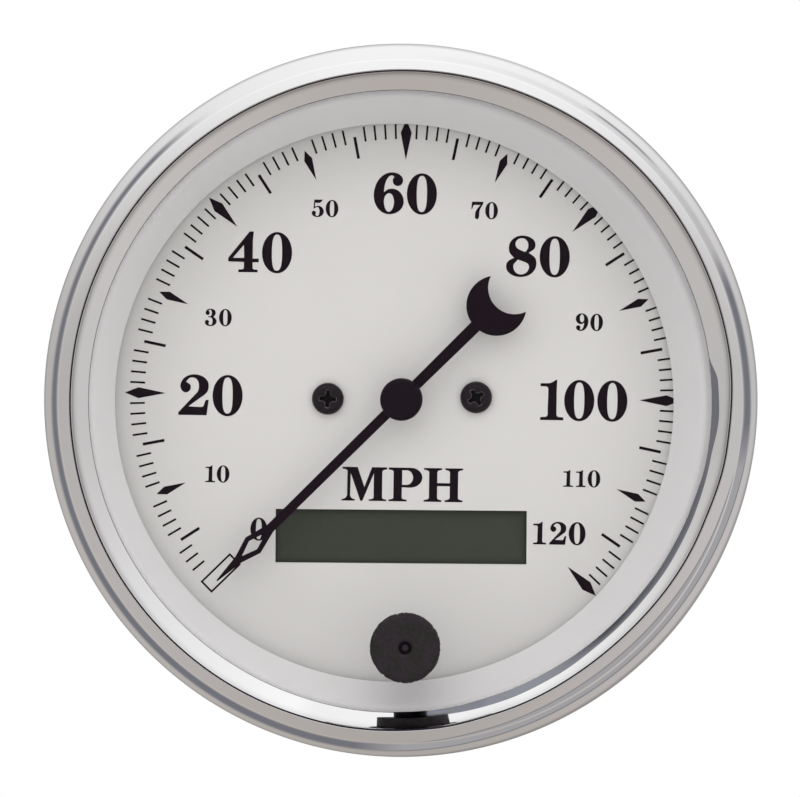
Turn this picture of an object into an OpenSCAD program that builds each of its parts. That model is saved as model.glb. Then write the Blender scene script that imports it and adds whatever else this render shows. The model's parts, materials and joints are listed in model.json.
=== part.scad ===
// Round in-dash electronic speedometer with an LCD odometer and a trip button.
// Millimetres. The dial faces -Y, +Z is up, and the origin lies on the dial axis
// where the back of the bezel meets the panel.
// Modules are drawn with x to the right, y up and z towards the viewer.

/* [Case] */
// Outside diameter of the case, behind the panel
case_d = 85; // [82:0.5:92]
// Depth of the case behind the panel
case_depth = 42; // [40:1:60]
// Wall of the case
case_wall = 1.2; // [1:0.1:1.5]
// Thickness of the case back
case_back_t = 1.6; // [1.2:0.1:2.4]
// Thickness of the rim that the bezel clamps
flange_t = 1.2; // [0.8:0.1:2]
// Round of the back edge
case_edge_r = 1.5; // [0.5:0.1:3]
// Radius of the posts that carry the circuit board
post_r = 3; // [2.4:0.1:4]

/* [Bezel] */
// How far the bezel stands out beyond the case, all round
bezel_overhang = 4.5; // [4:0.1:6]
// Sheet of the bezel
bezel_t = 0.8; // [0.6:0.05:1]
// Radius of the roll's outer side
side_r = 6.1; // [5:0.1:7]
// Round of the inner edge of the roll, next to the step
crest_edge_r = 0.3; // [0.2:0.05:0.6]
// Radius of the bend at the back edge
crimp_r = 1; // [1:0.1:1.4]
// Depth of the step between roll and funnel
step_h = 0.3; // [0.1:0.05:0.6]
// Width of the funnel towards the lens
funnel_w = 2.3; // [1.5:0.1:2.5]
// Depth of the funnel
funnel_h = 2.4; // [1.5:0.1:3]
// Height of the upright lip on the lens
lip_h = 0.5; // [0.4:0.1:1.5]
// From the outside of the case in to the edge of the lens opening
opening_inset = 1.5; // [1:0.1:2]

/* [Lens] */
// Thickness of the lens
lens_t = 2; // [1.5:0.1:3]
// Thickness of the lens gasket
gasket_t = 0.6; // [0.4:0.1:1.2]
// Width of the lens gasket
gasket_w = 3; // [2:0.1:3.5]

/* [Reflector ring] */
// Visible width of the ring
ring_w = 4.1; // [3:0.1:5]
// Width of the sloping part of the ring
ring_slope_w = 2; // [1:0.1:2.5]
// Wall of the ring
ring_t = 0.8; // [0.6:0.1:1]
// Thickness of the ring's flange
ring_flange_t = 0.6; // [0.5:0.1:1]
// Light gap between ring and dial
ring_gap = 1.2; // [0.8:0.1:2]
// How far the ring sits to the right of the dial axis, within its play
ring_x = -1; // [-1.2:0.1:1.2]
// How far the ring sits above the dial axis, within its play
ring_y = -0.6; // [-0.8:0.1:0.8]

/* [Dial] */
// Depth of the dial below the panel plane
dial_depth = 5; // [4:0.1:7]
// Thickness of the dial
dial_t = 0.8; // [0.6:0.1:1.2]
// Width of the odometer window
window_w = 33.2; // [28:0.1:36]
// Height of the odometer window
window_h = 7.1; // [5:0.1:8]
// Distance between the dial screws
screw_spacing = 19.6; // [19:0.1:21]
// How far the line through the dial screws is turned to the left
screw_turn = 1; // [-3:0.1:3]
// Radius of the dial screw heads
screw_head_r = 2.1; // [1.8:0.1:2.4]
// Height of the dial screw heads
screw_head_h = 1.2; // [1:0.1:1.6]

/* [Pointer] */
// Thickness of the pointer
pointer_t = 0.6; // [0.4:0.1:1]
// Gap between the pointer and the dial
pointer_lift = 3; // [2:0.1:4]
// Gap between the tip and the reflector ring
tip_gap = 1.5; // [0.8:0.1:3]
// Width of the arm
arm_w = 1.35; // [1.2:0.05:1.8]
// Radius of the hub cap
hub_r = 2.8; // [2.4:0.02:3.4]
// Height of the hub cap over the pointer
hub_h = 1.8; // [1.2:0.1:2.2]
// Length of the spear point
spear_l = 4; // [3:0.1:5]
// Half length of the lozenge on its outer side
lozenge_front = 2.7; // [2:0.1:3.5]
// Half length of the lozenge on its inner side
lozenge_back = 3.2; // [2.5:0.1:4]
// Width of the lozenge
lozenge_w = 2.84; // [2.4:0.02:3.4]
// Width of the lozenge's opening
lozenge_hole_w = 1.52; // [1.2:0.02:1.7]
// Distance from the axis to the middle of the crescent
crescent_x = 17.6; // [15:0.1:20]
// Radius of the crescent
crescent_r = 3.98; // [3.6:0.02:4.6]
// Distance from the middle of the crescent to the middle of its bite
bite_x = 3.35; // [3:0.05:3.8]
// Radius of the bite
bite_r = 3.49; // [3.2:0.01:3.7]

/* [Movement] */
// Height from the back of the dial to the circuit board
cup_h = 16.2; // [15:0.1:20]
// Radius of the spindle
spindle_r = 0.5; // [0.4:0.05:0.7]
// Running clearance of the spindle, on the radius
spindle_gap = 0.03; // [0.02:0.01:0.06]
// Radius of the bearing bushes
bush_r = 1; // [0.9:0.05:1.1]
// Radius of the rotor magnet
magnet_r = 5; // [4:0.1:5.5]
// Width of one half of a coil
coil_w = 2.8; // [2:0.1:3]
// Thickness of the windings
coil_t = 1.1; // [0.8:0.1:1.3]
// Sheet of the shield can
can_t = 0.5; // [0.3:0.1:0.8]

/* [Circuit board] */
// Thickness of the circuit board
board_t = 1.6; // [1:0.1:2]
// Radius of the board screws
board_screw_r = 1.25; // [1:0.05:1.5]
// Side of the microcontroller
chip_w = 10; // [7:0.5:12]
// Radius of the capacitors
cap_r = 4; // [3:0.1:5]
// Height of the capacitors
cap_h = 11; // [7:0.5:12]
// Thickness of the odometer glass
glass_t = 2.2; // [1.6:0.1:2.8]
// Thickness of the light guide behind the glass
guide_t = 3; // [2:0.1:4]
// Pins of the odometer glass
lcd_pin_count = 14; // [8:1:16]

/* [Lamps] */
// Sideways place of the lamps
lamp_x = 24; // [21:0.5:25]
// Upward place of the lamps
lamp_y = 14; // [12:0.5:16]
// Radius of the bulbs
bulb_r = 4.9; // [4:0.1:5]
// Length of the bulbs
bulb_l = 20; // [16:0.5:22]
// Radius of the sockets' outer flange
socket_flange_r = 8; // [7.5:0.1:9]

/* [Back] */
// Distance between the bracket studs
stud_spacing = 38.1; // [36:0.1:40]
// Radius of the bracket studs
stud_r = 2.4; // [2:0.05:2.5]
// Length of the studs behind the case
stud_l = 25; // [15:1:40]
// Number of terminal blades
blade_count = 6; // [3:1:6]
// Distance between terminal blades
blade_pitch = 4.2; // [3.5:0.1:4.4]
// Width of the terminal blades
blade_w = 2.8; // [2:0.1:3.2]
// Thickness of the terminal blades
blade_t = 0.8; // [0.5:0.1:1]
// Length of the blades outside the terminal block
blade_l = 8; // [6:0.5:10]

/* [Trip button] */
// Sideways place of the trip button
trip_x = 0.95; // [-2:0.05:2]
// From the inner edge of the reflector ring in to the trip button
trip_inset = 4.65; // [4:0.05:5]
// Radius of the rubber knob
knob_r = 4.7; // [4:0.1:5]
// Radius of the foot under the rubber knob
knob_foot_r = 3.5; // [3:0.1:3.8]
// Height of the rubber knob
knob_h = 2.5; // [2:0.1:3]
// Travel of the button
trip_travel = 1; // [0.6:0.1:1.2]
// Radius of the stem
stem_r = 1.8; // [1.8:0.05:2.3]
// Running clearance of the stem, on the radius
stem_gap = 0.08; // [0.05:0.01:0.1]
// Turns of the return spring
spring_turns = 5.5; // [4:0.5:6]
// Radius of the return spring's wire
spring_wire_r = 0.25; // [0.2:0.01:0.28]

/* [Hidden] */

$fn = 96;
// Play round pieces that are pushed into their seats
seat_gap = 0.02;
// Room round pieces that pass through a wall
pass_gap = 0.3;
// Cutters run this far past the faces that they cut
over = 1;

// Bezel and clamped stack, from the panel plane forwards
case_r = case_d / 2;
bore_r = case_r - case_wall;
bezel_r = case_r + bezel_overhang;
crimp_margin = 0.8;
crimp_in_r = case_r + crimp_margin;
neck_gap = 0.1;
neck_r = crimp_in_r - neck_gap;
rim_gap = 0.9;
rim_r = bezel_r - bezel_t - rim_gap;
flange_z = bezel_t;
ring_z = flange_z + flange_t;
gasket_z = ring_z + ring_flange_t;
lens_z = gasket_z + gasket_t;
lens_front = lens_z + lens_t;
opening_r = case_r - opening_inset;
step_r = opening_r + funnel_w;
crest_r = step_r + crest_edge_r;
funnel_foot = lens_front + lip_h;
funnel_top = funnel_foot + funnel_h;
bezel_h = funnel_top + step_h;

// Roll of the bezel: a tight crown and a wide side, which meet halfway round
roll_w = bezel_r - crest_r;
halfway = 45;
crown_r = (roll_w - side_r * (1 - cos(halfway))) / cos(halfway);
crown_z = bezel_h - crown_r;
side_x = bezel_r - side_r;
side_z = crown_z + (crown_r - side_r) * sin(halfway);

// Reflector ring
ring_in_r = opening_r - ring_w;
ring_slope_r = ring_in_r + ring_slope_w;
ring_shift = norm([ring_x, ring_y]);
ring_play = 0.2;
ring_rim_r = rim_r - ring_shift - ring_play;
ring_foot = ring_gap - dial_depth;
ring_edge_r = 0.5;

// Dial, inner housing and circuit board, from the dial backwards
dial_z = -dial_depth;
dial_back = dial_z - dial_t;
inner_gap = 0.4;
inner_r = bore_r - inner_gap;
cup_t = 1.2;
board_z = dial_back - cup_h;
board_back = board_z - board_t;
case_back = -case_depth;
case_floor = case_back + case_back_t;
post_margin = 2.6;
post_ring_r = inner_r - cup_t - post_r - post_margin;
post_angles = [90, 210, 330];
board_screw_l = 8;
parts_inset = 16.9;
parts_x = inner_r - parts_inset;
parts_y = -7;

// Movement
plate_t = 2;
rear_plate_t = 1.4;
air = 0.1;
plate_gap = 0.4;
core_wall = 0.8;
rotor_gap = 0.4;
core_r = magnet_r + rotor_gap + core_wall - air;
bush_wall = 0.6;
split = bush_r + bush_wall;
outer_coil_top = dial_back - plate_t - plate_gap;
inner_coil_top = outer_coil_top - coil_t - air;
core_top = inner_coil_top - coil_t - air;
outer_coil_foot = board_z + rear_plate_t + plate_gap;
inner_coil_foot = outer_coil_foot + coil_t + air;
core_foot = inner_coil_foot + coil_t + air;
core_mid = (core_top + core_foot) / 2;
core_half = core_top - core_mid;
cavity_top = core_top - core_wall;
cavity_foot = core_foot + core_wall;
pillar_r = 1.1;
pillar_gap = 0.8;
pillar_xy = core_r + pillar_gap;
frame_r = pillar_xy * sqrt(2) + pillar_r + air;
can_gap = 0.15;
can_in_r = frame_r + can_gap;
can_r = can_in_r + can_t;
ear_r = 2.6;
screw_r = 0.9;
screw_l = 5;
spindle_lift = 0.7;
spindle_foot = board_z + spindle_lift;

// Odometer
frame_wall = 1;
glass_margin = 1.8;
glass_w = window_w + 2 * glass_margin;
glass_h = window_h + 2 * glass_margin;
frame_w = glass_w + 2 * frame_wall + 2 * air;
frame_h = glass_h + 2 * frame_wall + 2 * air;
window_y = -(can_r + pass_gap + frame_h / 2);
glass_gap = 0.2;
glass_front = dial_back - glass_gap;
guide_z = glass_front - glass_t - guide_t;
guide_margin = 0.6;
guide_h = window_h + 2 * guide_margin;
ledge_t = 1.2;
ledge_w = 2;
lcd_pin_w = 0.5;
lcd_pin_t = 0.3;
lcd_pin_inset = 0.6;
lcd_pin_y = window_y - glass_h / 2 + lcd_pin_inset;
lcd_pin_margin = 1.5;
lcd_pin_pitch = (glass_w - 2 * ledge_w - 2 * lcd_pin_margin) / (lcd_pin_count - 1);

// Pointer
pointer_z = dial_z + pointer_lift;
pointer_l = ring_in_r - ring_shift - tip_gap;
zero_angle = 225;
lozenge_x = pointer_l - spear_l - lozenge_front;
hub_boss_r = 1.5;
hub_boss_h = 0.6;
spindle_in_hub = 0.6;
spindle_head = pointer_z + pointer_t + spindle_in_hub;

// Trip button
trip_y = -(ring_in_r - trip_inset);
knob_gap = 0.4;
knob_foot_z = lens_front + trip_travel + knob_gap;
knob_foot_h = 1;
knob_z = knob_foot_z + knob_foot_h;
spigot_r = 1.45;
dimple_h = 0.7;
spigot_h = knob_h - dimple_h;
dimple_r = 0.95;
trip_bush_r = 3;
trip_bush_rim_r = 3.5;
trip_bush_rim_t = 0.25;
trip_bush_tail = 0.6;
trip_bush_foot = lens_z - trip_bush_tail;
clip_t = 0.6;
clip_z = trip_bush_foot - pass_gap - clip_t;
clip_r = 3.4;
clip_groove_h = 0.4;
clip_groove_r = stem_r - clip_groove_h;
collar_r = 3.6;
collar_t = 0.8;
collar_gap = 1.9;
collar_z = dial_back - collar_gap;
shelf_t = 1.5;
switch_w = 7;
switch_h = 4.5;
switch_top = board_z + switch_h;
stem_foot = switch_top + trip_travel + pass_gap;
shelf_lift = 0.4;
shelf_z = stem_foot + shelf_lift;
plunger_r = 1.5;
plunger_in = 1.2;

// Terminals, lamps and studs
block_end = 1;
block_w = blade_count * blade_pitch + 2 * block_end;
block_h = 10;
block_inset = 16.9;
block_y = block_inset - inner_r;
block_out = 4;
socket_wall = 0.7;
socket_r = bulb_r + socket_wall;
socket_in = 8;
socket_flange_t = 2;
socket_top = case_back + socket_in;
grip_w = 3;
grip_h = 4;
stud_head_r = 4.2;
stud_head_t = 1.2;
stud_collar_w = 0.5;
stud_collar_r = stud_r + stud_collar_w;

// Turns the drawing so that its front faces -Y
module upright() {
    rotate([90, 0, 0]) children();
}

module at(x, y, z) {
    translate([x, y, z]) children();
}

module rod(r, z0, z1) {
    translate([0, 0, z0]) cylinder(r = r, h = z1 - z0);
}

module tube(r_out, r_in, z0, z1) {
    difference() {
        rod(r_out, z0, z1);
        rod(r_in, z0 - over, z1 + over);
    }
}

// A block centred sideways and upwards, from z0 to z1
module block(w, h, z0, z1) {
    translate([-w / 2, -h / 2, z0]) cube([w, h, z1 - z0]);
}

module both_sides(x) {
    for (side = [-1, 1]) translate([side * x, 0, 0]) children();
}

module at_posts() {
    for (a = post_angles) rotate(a) translate([post_ring_r, 0, 0]) children();
}

module at_trip() {
    translate([trip_x, trip_y, 0]) children();
}

module at_window() {
    translate([0, window_y, 0]) children();
}

// Bent sheet, one quarter turn in the first quadrant
module bend(r, t) {
    intersection() {
        difference() {
            circle(r);
            if (t < r) circle(r - t);
        }
        square(r);
    }
}

// Bent sheet from one angle to another
module part_bend(r, t, start, end) {
    reach = 2 * r;
    intersection() {
        difference() {
            circle(r);
            circle(r - t);
        }
        polygon([[0, 0], reach * [cos(start), sin(start)], reach * [cos(end), sin(end)]]);
    }
}

// Half section of a disc with a round front edge
module round_edged(r, h, edge_r) {
    square([r - edge_r, h]);
    square([r, h - edge_r]);
    translate([r - edge_r, h - edge_r]) bend(edge_r, edge_r);
}

// Section of the roll's inner edge, which falls to the step
module crest_section() {
    translate([step_r, bezel_h - bezel_t]) square([crest_edge_r, bezel_t - crest_edge_r]);
    translate([crest_r, bezel_h - crest_edge_r]) mirror([1, 0]) bend(crest_edge_r, crest_edge_r);
}

// Section of the funnel and of its lip on the lens
module funnel_section() {
    slope = funnel_h / funnel_w;
    drop = bezel_t * sqrt(1 + slope * slope);
    polygon([
        [step_r, funnel_top],
        [opening_r, funnel_foot],
        [opening_r, lens_front],
        [opening_r + bezel_t, lens_front],
        [opening_r + bezel_t, funnel_foot + bezel_t * slope - drop],
        [step_r, funnel_top - drop]
    ]);
}

module bezel() {
    color("gainsboro") upright() rotate_extrude() {
        translate([crimp_in_r, 0]) square([bezel_r - crimp_r - crimp_in_r, bezel_t]);
        translate([bezel_r - crimp_r, crimp_r]) mirror([0, 1]) bend(crimp_r, bezel_t);
        translate([bezel_r - bezel_t, crimp_r]) square([bezel_t, side_z - crimp_r]);
        translate([side_x, side_z]) part_bend(side_r, bezel_t, 0, halfway);
        translate([crest_r, crown_z]) part_bend(crown_r, bezel_t, halfway, 90);
        crest_section();
        funnel_section();
    }
}

module lens() {
    color("azure", 0.3) upright() difference() {
        rod(rim_r, lens_z, lens_front);
        at_trip() rod(trip_bush_r + seat_gap, lens_z - over, lens_front + over);
    }
}

module lens_gasket() {
    color("dimgray") upright() tube(rim_r, rim_r - gasket_w, gasket_z, lens_z);
}

// Satin ring: a flat flange, a rounded edge and a steep slope towards the dial
module reflector_ring() {
    fall = [ring_in_r - ring_slope_r, ring_foot - gasket_z];
    inward = [-fall[1], fall[0]] / norm(fall);
    edge_x = ring_slope_r + ring_edge_r * (1 + inward[1]) / inward[0];
    edge = [edge_x, gasket_z - ring_edge_r];
    wall_w = ring_t / inward[0];
    color("silver") upright() at(ring_x, ring_y, 0) rotate_extrude() {
        polygon([
            [edge[0], gasket_z],
            edge - ring_edge_r * inward,
            [ring_in_r, ring_foot],
            [ring_in_r + wall_w, ring_foot],
            [ring_slope_r + wall_w, ring_z],
            [ring_rim_r, ring_z],
            [ring_rim_r, gasket_z]
        ]);
        translate(edge) circle(ring_edge_r);
    }
}

module dial() {
    color("whitesmoke") upright() difference() {
        rod(inner_r, dial_back, dial_z);
        rod(hub_boss_r, dial_back - over, dial_z + over);
        rotate(screw_turn) both_sides(screw_spacing / 2)
            rod(screw_r + pass_gap, dial_back - over, dial_z + over);
        at_window() block(window_w, window_h, dial_back - over, dial_z + over);
        at_trip() rod(stem_r + 2 * pass_gap, dial_back - over, dial_z + over);
    }
}

// Round-topped screw with a cross recess
module dial_screw(turn) {
    recess_w = 0.55;
    recess_edge = 0.7;
    recess_l = 2 * (screw_head_r - recess_edge);
    recess_h = 0.84;
    top = dial_z + screw_head_h;
    dome_r = 0.8;
    difference() {
        union() {
            rod(screw_r, dial_z - screw_l, dial_z);
            translate([0, 0, dial_z]) rotate_extrude() round_edged(screw_head_r, screw_head_h, dome_r);
        }
        for (a = [0, 90]) rotate(turn + a) block(recess_l, recess_w, top - recess_h, top + over);
    }
}

module dial_screws() {
    right_turn = 37;
    color("black") upright() rotate(screw_turn) {
        at(-screw_spacing / 2, 0, 0) dial_screw(0);
        at(screw_spacing / 2, 0, 0) dial_screw(right_turn);
    }
}

module case_shell() {
    rotate_extrude() difference() {
        union() {
            translate([0, case_back]) square([case_r - case_edge_r, case_depth]);
            translate([0, case_back + case_edge_r]) square([case_r, case_depth - case_edge_r]);
            translate([case_r - case_edge_r, case_back + case_edge_r]) circle(case_edge_r);
            square([neck_r, flange_z]);
            translate([0, flange_z]) square([rim_r, flange_t]);
        }
        translate([0, case_floor]) square([bore_r, case_depth + ring_z]);
    }
}

module case() {
    color("#202020") upright() difference() {
        union() {
            case_shell();
            at_posts() rod(post_r, case_floor - case_back_t / 2, board_back);
        }
        at_posts() rod(board_screw_r + seat_gap, board_back - board_screw_l - over, board_back + over);
        both_sides(stud_spacing / 2) rod(stud_collar_r + seat_gap, case_back - over, case_floor + over);
        both_sides(lamp_x) at(0, lamp_y, 0) rod(socket_r + pass_gap, case_back - over, case_floor + over);
        at(0, block_y, 0)
            block(block_w + 2 * pass_gap, block_h + 2 * pass_gap, case_back - over, case_floor + over);
    }
}

// White inner housing with the shelf that guides the trip stem
module light_cup() {
    shelf_side = 1;
    shelf_end = 1.4;
    shelf_w = 2 * (collar_r + shelf_side);
    shelf_in = collar_r + shelf_end;
    color("white") upright() {
        tube(inner_r, inner_r - cup_t, board_z, dial_back);
        difference() {
            intersection() {
                rod(inner_r - cup_t / 2, shelf_z, shelf_z + shelf_t);
                at(trip_x - shelf_w / 2, -inner_r, shelf_z)
                    cube([shelf_w, inner_r + trip_y + shelf_in, shelf_t]);
            }
            at_trip() rod(stem_r + stem_gap, shelf_z - over, shelf_z + shelf_t + over);
        }
    }
}

// Front half of the rotor's chamber, a cup that opens at the split between the halves
module chamber() {
    difference() {
        rod(core_r, 0, core_half);
        rod(core_r - core_wall, -over, core_half - core_wall);
    }
}

module bobbin_front() {
    plate_foot = dial_back - plate_t;
    color("ivory") upright() rotate(screw_turn) difference() {
        union() {
            rod(frame_r, plate_foot, dial_back);
            both_sides(screw_spacing / 2) rod(ear_r, plate_foot, dial_back);
            rod(split - air, core_top, plate_foot);
            at(0, 0, core_mid) chamber();
            for (a = [45:90:315]) rotate(a) at(pillar_xy * sqrt(2), 0, 0)
                rod(pillar_r, board_z + rear_plate_t, plate_foot + plate_t / 2);
        }
        rod(bush_r + seat_gap, cavity_top - over, dial_back + over);
        both_sides(screw_spacing / 2) rod(screw_r + seat_gap, plate_foot - over, dial_back + over);
    }
}

module bobbin_rear() {
    plate_top = board_z + rear_plate_t;
    color("ivory") upright() difference() {
        union() {
            rod(frame_r, board_z, plate_top);
            rod(split - air, plate_top, core_foot);
            at(0, 0, core_mid) rotate([180, 0, 0]) chamber();
        }
        rod(bush_r + seat_gap, board_z - over, cavity_foot + over);
    }
}

// Two square loops side by side, one on each side of the spindle
module coil(top, foot) {
    inner = core_r + air;
    outer = inner + coil_t;
    for (side = [-1, 1]) translate([0, side * (split + coil_w / 2), 0]) difference() {
        block(2 * outer, coil_w, foot, top);
        block(2 * inner, coil_w + over, foot + coil_t, top - coil_t);
    }
}

module sine_coil() {
    color("sienna") upright() coil(inner_coil_top, inner_coil_foot);
}

module cosine_coil() {
    color("peru") upright() rotate(90) coil(outer_coil_top, outer_coil_foot);
}

module shield_can() {
    color("lightgray") upright() tube(can_r, can_in_r, board_z, dial_back - plate_t - air);
}

module front_bearing() {
    color("goldenrod") upright() tube(bush_r, spindle_r + spindle_gap, cavity_top, dial_back);
}

module rear_bearing() {
    color("goldenrod") upright() difference() {
        rod(bush_r, board_z, cavity_foot);
        rod(spindle_r + spindle_gap, spindle_foot - air, cavity_foot + over);
    }
}

module circuit_board() {
    color("darkgreen") upright() difference() {
        rod(inner_r, board_back, board_z);
        at_posts() rod(board_screw_r + pass_gap, board_back - over, board_z + over);
        both_sides(lamp_x) at(0, lamp_y, 0) rod(socket_r, board_back - over, board_z + over);
    }
}

module board_screws() {
    head_h = 1.6;
    color("gray") upright() at_posts() {
        rod(board_screw_r, board_back - board_screw_l, board_z + head_h / 2);
        rod(2 * board_screw_r, board_z, board_z + head_h);
    }
}

// Flat package with leads on two sides
module microcontroller() {
    chip_t = 1.8;
    lead_count = 8;
    lead_pitch = chip_w / (lead_count + 1);
    lead_w = lead_pitch / 2;
    lead_t = 0.3;
    lead_l = 1.2;
    chip_offset = 9;
    chip_y = can_r + chip_offset;
    color("#303030") upright() at(0, chip_y, board_back - chip_t) {
        block(chip_w, chip_w, 0, chip_t - lead_t);
        for (i = [1:lead_count]) at((i - (lead_count + 1) / 2) * lead_pitch, 0, 0)
            block(lead_w, chip_w + 2 * lead_l, chip_t / 2, chip_t);
    }
}

// Power package with a metal tab
module voltage_regulator() {
    body_w = 6.5;
    body_h = 6;
    tab_h = 3;
    tab_t = 0.6;
    tab_inset = 0.5;
    body_t = 2.3;
    color("#282828") upright() at(-parts_x, parts_y, board_back - body_t) {
        block(body_w, body_h, 0, body_t);
        at(0, body_h / 2, 0) block(body_w - 2 * tab_inset, tab_h, body_t - tab_t, body_t);
    }
}

module capacitors() {
    rim_w = 1.2;
    vent_h = 0.3;
    half_gap = 0.5;
    top = board_back - cap_h;
    color("steelblue") upright() at(parts_x, parts_y, 0) both_sides(cap_r + half_gap) difference() {
        rod(cap_r, top, board_back);
        rod(cap_r - rim_w, top - over, top + vent_h);
    }
}

module lcd_panel() {
    color("#3e443c") upright() at_window() block(glass_w, glass_h, glass_front - glass_t, glass_front);
}

// Open box that stands on the circuit board and holds glass and light guide
module lcd_frame() {
    color("whitesmoke") upright() at_window() {
        difference() {
            block(frame_w, frame_h, board_z, dial_back);
            block(frame_w - 2 * frame_wall, frame_h - 2 * frame_wall, board_z - over, dial_back + over);
        }
        both_sides((frame_w - frame_wall - ledge_w) / 2)
            block(ledge_w + frame_wall, frame_h - frame_wall, guide_z - ledge_t, guide_z);
    }
}

module lcd_light_guide() {
    color("lightcyan") upright() at_window() block(glass_w, guide_h, guide_z, guide_z + guide_t);
}

module lcd_pins() {
    color("silver") upright() for (i = [0:lcd_pin_count - 1])
        at((i - (lcd_pin_count - 1) / 2) * lcd_pin_pitch, lcd_pin_y, 0)
            block(lcd_pin_w, lcd_pin_t, board_z, glass_front - glass_t);
}

// Twist-lock socket: body in the case back, flange and grip outside
module lamp_sockets() {
    color("#d8d4c8") upright() both_sides(lamp_x) at(0, lamp_y, 0) {
        rod(socket_r, case_back, socket_top);
        rod(socket_flange_r, case_back - socket_flange_t, case_back);
        block(2 * socket_r, grip_w, case_back - socket_flange_t - grip_h, case_back - socket_flange_t / 2);
    }
}

// Wedge lamps: a cylinder of glass with a round end
module lamp_bulbs() {
    shoulder = bulb_l - bulb_r;
    color("aliceblue", 0.5) upright() both_sides(lamp_x) at(0, lamp_y, socket_top) {
        cylinder(r = bulb_r, h = shoulder);
        translate([0, 0, shoulder]) sphere(r = bulb_r);
    }
}

// Clinch studs: head inside, collar in the case back, plain end outside
module bracket_studs() {
    tip = case_back - stud_l;
    chamfer = 0.6;
    color("lightgray") upright() both_sides(stud_spacing / 2) {
        rod(stud_head_r, case_floor, case_floor + stud_head_t);
        rod(stud_collar_r, case_back, case_floor);
        rod(stud_r, tip + chamfer, case_back);
        translate([0, 0, tip]) cylinder(r1 = stud_r - chamfer, r2 = stud_r, h = chamfer);
    }
}

module at_blades() {
    for (i = [0:blade_count - 1])
        translate([(i - (blade_count - 1) / 2) * blade_pitch, block_y, 0]) children();
}

module terminal_block() {
    foot = case_back - block_out;
    slot_t = blade_t + 2 * seat_gap;
    slot_w = blade_w + 2 * seat_gap;
    color("#1a1a1a") upright() difference() {
        at(0, block_y, 0) block(block_w, block_h, foot, board_back);
        at_blades() block(slot_t, slot_w, foot - over, board_back + over);
    }
}

module terminal_blades() {
    tip = case_back - block_out - blade_l;
    color("silver") upright() at_blades() block(blade_t, blade_w, tip, board_back);
}

module trip_bush() {
    color("#181818") upright() at_trip() difference() {
        union() {
            rod(trip_bush_r, trip_bush_foot, lens_front);
            rod(trip_bush_rim_r, lens_front, lens_front + trip_bush_rim_t);
        }
        rod(stem_r + stem_gap, trip_bush_foot - over, lens_front + over);
    }
}

module trip_switch() {
    well = switch_top - plunger_in - trip_travel - pass_gap;
    color("#262626") upright() at_trip() difference() {
        block(switch_w, switch_w, board_z, switch_top);
        rod(plunger_r + stem_gap, well, switch_top + over);
    }
}

// Return spring round the stem, one unbroken tube between collar and shelf
spring_rings = 8;
spring_sides = 6;
spring_r = (stem_r + collar_r) / 2;
spring_top = collar_z - collar_t - spring_wire_r - air / 2;
spring_foot = shelf_z + shelf_t + spring_wire_r + air / 2;
spring_steps = spring_turns * spring_rings;
spring_pitch = (spring_top - spring_foot) / spring_turns;
function spring_at(i) = let(a = 360 * i / spring_rings)
    [spring_r * cos(a), spring_r * sin(a), spring_foot + spring_pitch * i / spring_rings];
function spring_ring(i) = let(a = 360 * i / spring_rings, c = spring_at(i))
    [for (k = [0:spring_sides - 1]) let(b = 360 * k / spring_sides, d = spring_wire_r * cos(b))
        c + [d * cos(a), d * sin(a), spring_wire_r * sin(b)]];
function spring_quad(i, k) = let(n = spring_sides, a = i * n + k, b = i * n + (k + 1) % n)
    [[a, a + n, b], [b, a + n, b + n]];

module trip_spring() {
    n = spring_sides;
    end = spring_steps * n;
    points = [for (i = [0:spring_steps]) each spring_ring(i)];
    walls = [for (i = [0:spring_steps - 1], k = [0:n - 1]) each spring_quad(i, k)];
    foot_cap = [for (k = [1:n - 2]) [0, k, k + 1]];
    head_cap = [for (k = [1:n - 2]) [end, end + k + 1, end + k]];
    centres = [for (i = [0:spring_steps]) spring_at(i)];
    gaps = [for (i = [0:spring_steps - spring_rings], j = [i + spring_rings / 2:spring_steps])
        norm(centres[i] - centres[j]) - 2 * spring_wire_r];
    echo(spring_least_gap = min(gaps));
    color("silver") upright() at_trip() polyhedron(points, concat(walls, foot_cap, head_cap));
}

// Outline of the pointer along x: spear and open lozenge ahead, crescent behind
module pointer_outline() {
    spear_w = 1.1;
    spear_tip_w = 0.18;
    neck_w = arm_w - 0.16;
    tail_w = arm_w + 0.3;
    eye_w = 0.8;
    rim = (lozenge_w - lozenge_hole_w) / 2;
    hole_front = lozenge_front * (1 - rim / lozenge_w);
    hole_back = lozenge_back * (1 - rim / lozenge_w);
    difference() {
        union() {
            polygon([
                [pointer_l, spear_tip_w / 2],
                [pointer_l - spear_l, spear_w / 2],
                [lozenge_x, lozenge_w / 2],
                [lozenge_x - lozenge_back, neck_w / 2],
                [0, arm_w / 2],
                [-crescent_x, tail_w / 2],
                [-crescent_x, -tail_w / 2],
                [0, -arm_w / 2],
                [lozenge_x - lozenge_back, -neck_w / 2],
                [lozenge_x, -lozenge_w / 2],
                [pointer_l - spear_l, -spear_w / 2],
                [pointer_l, -spear_tip_w / 2]
            ]);
            translate([-crescent_x, 0]) circle(crescent_r);
            circle(hub_boss_r + eye_w);
        }
        translate([-crescent_x - bite_x, 0]) circle(bite_r);
        polygon([
            [lozenge_x + hole_front, 0],
            [lozenge_x, lozenge_hole_w / 2],
            [lozenge_x - hole_back, 0],
            [lozenge_x, -lozenge_hole_w / 2]
        ]);
        circle(hub_boss_r + seat_gap);
    }
}

module pointer() {
    color("black") upright() at(0, 0, pointer_z) rotate(zero_angle)
        linear_extrude(pointer_t) pointer_outline();
}

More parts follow.
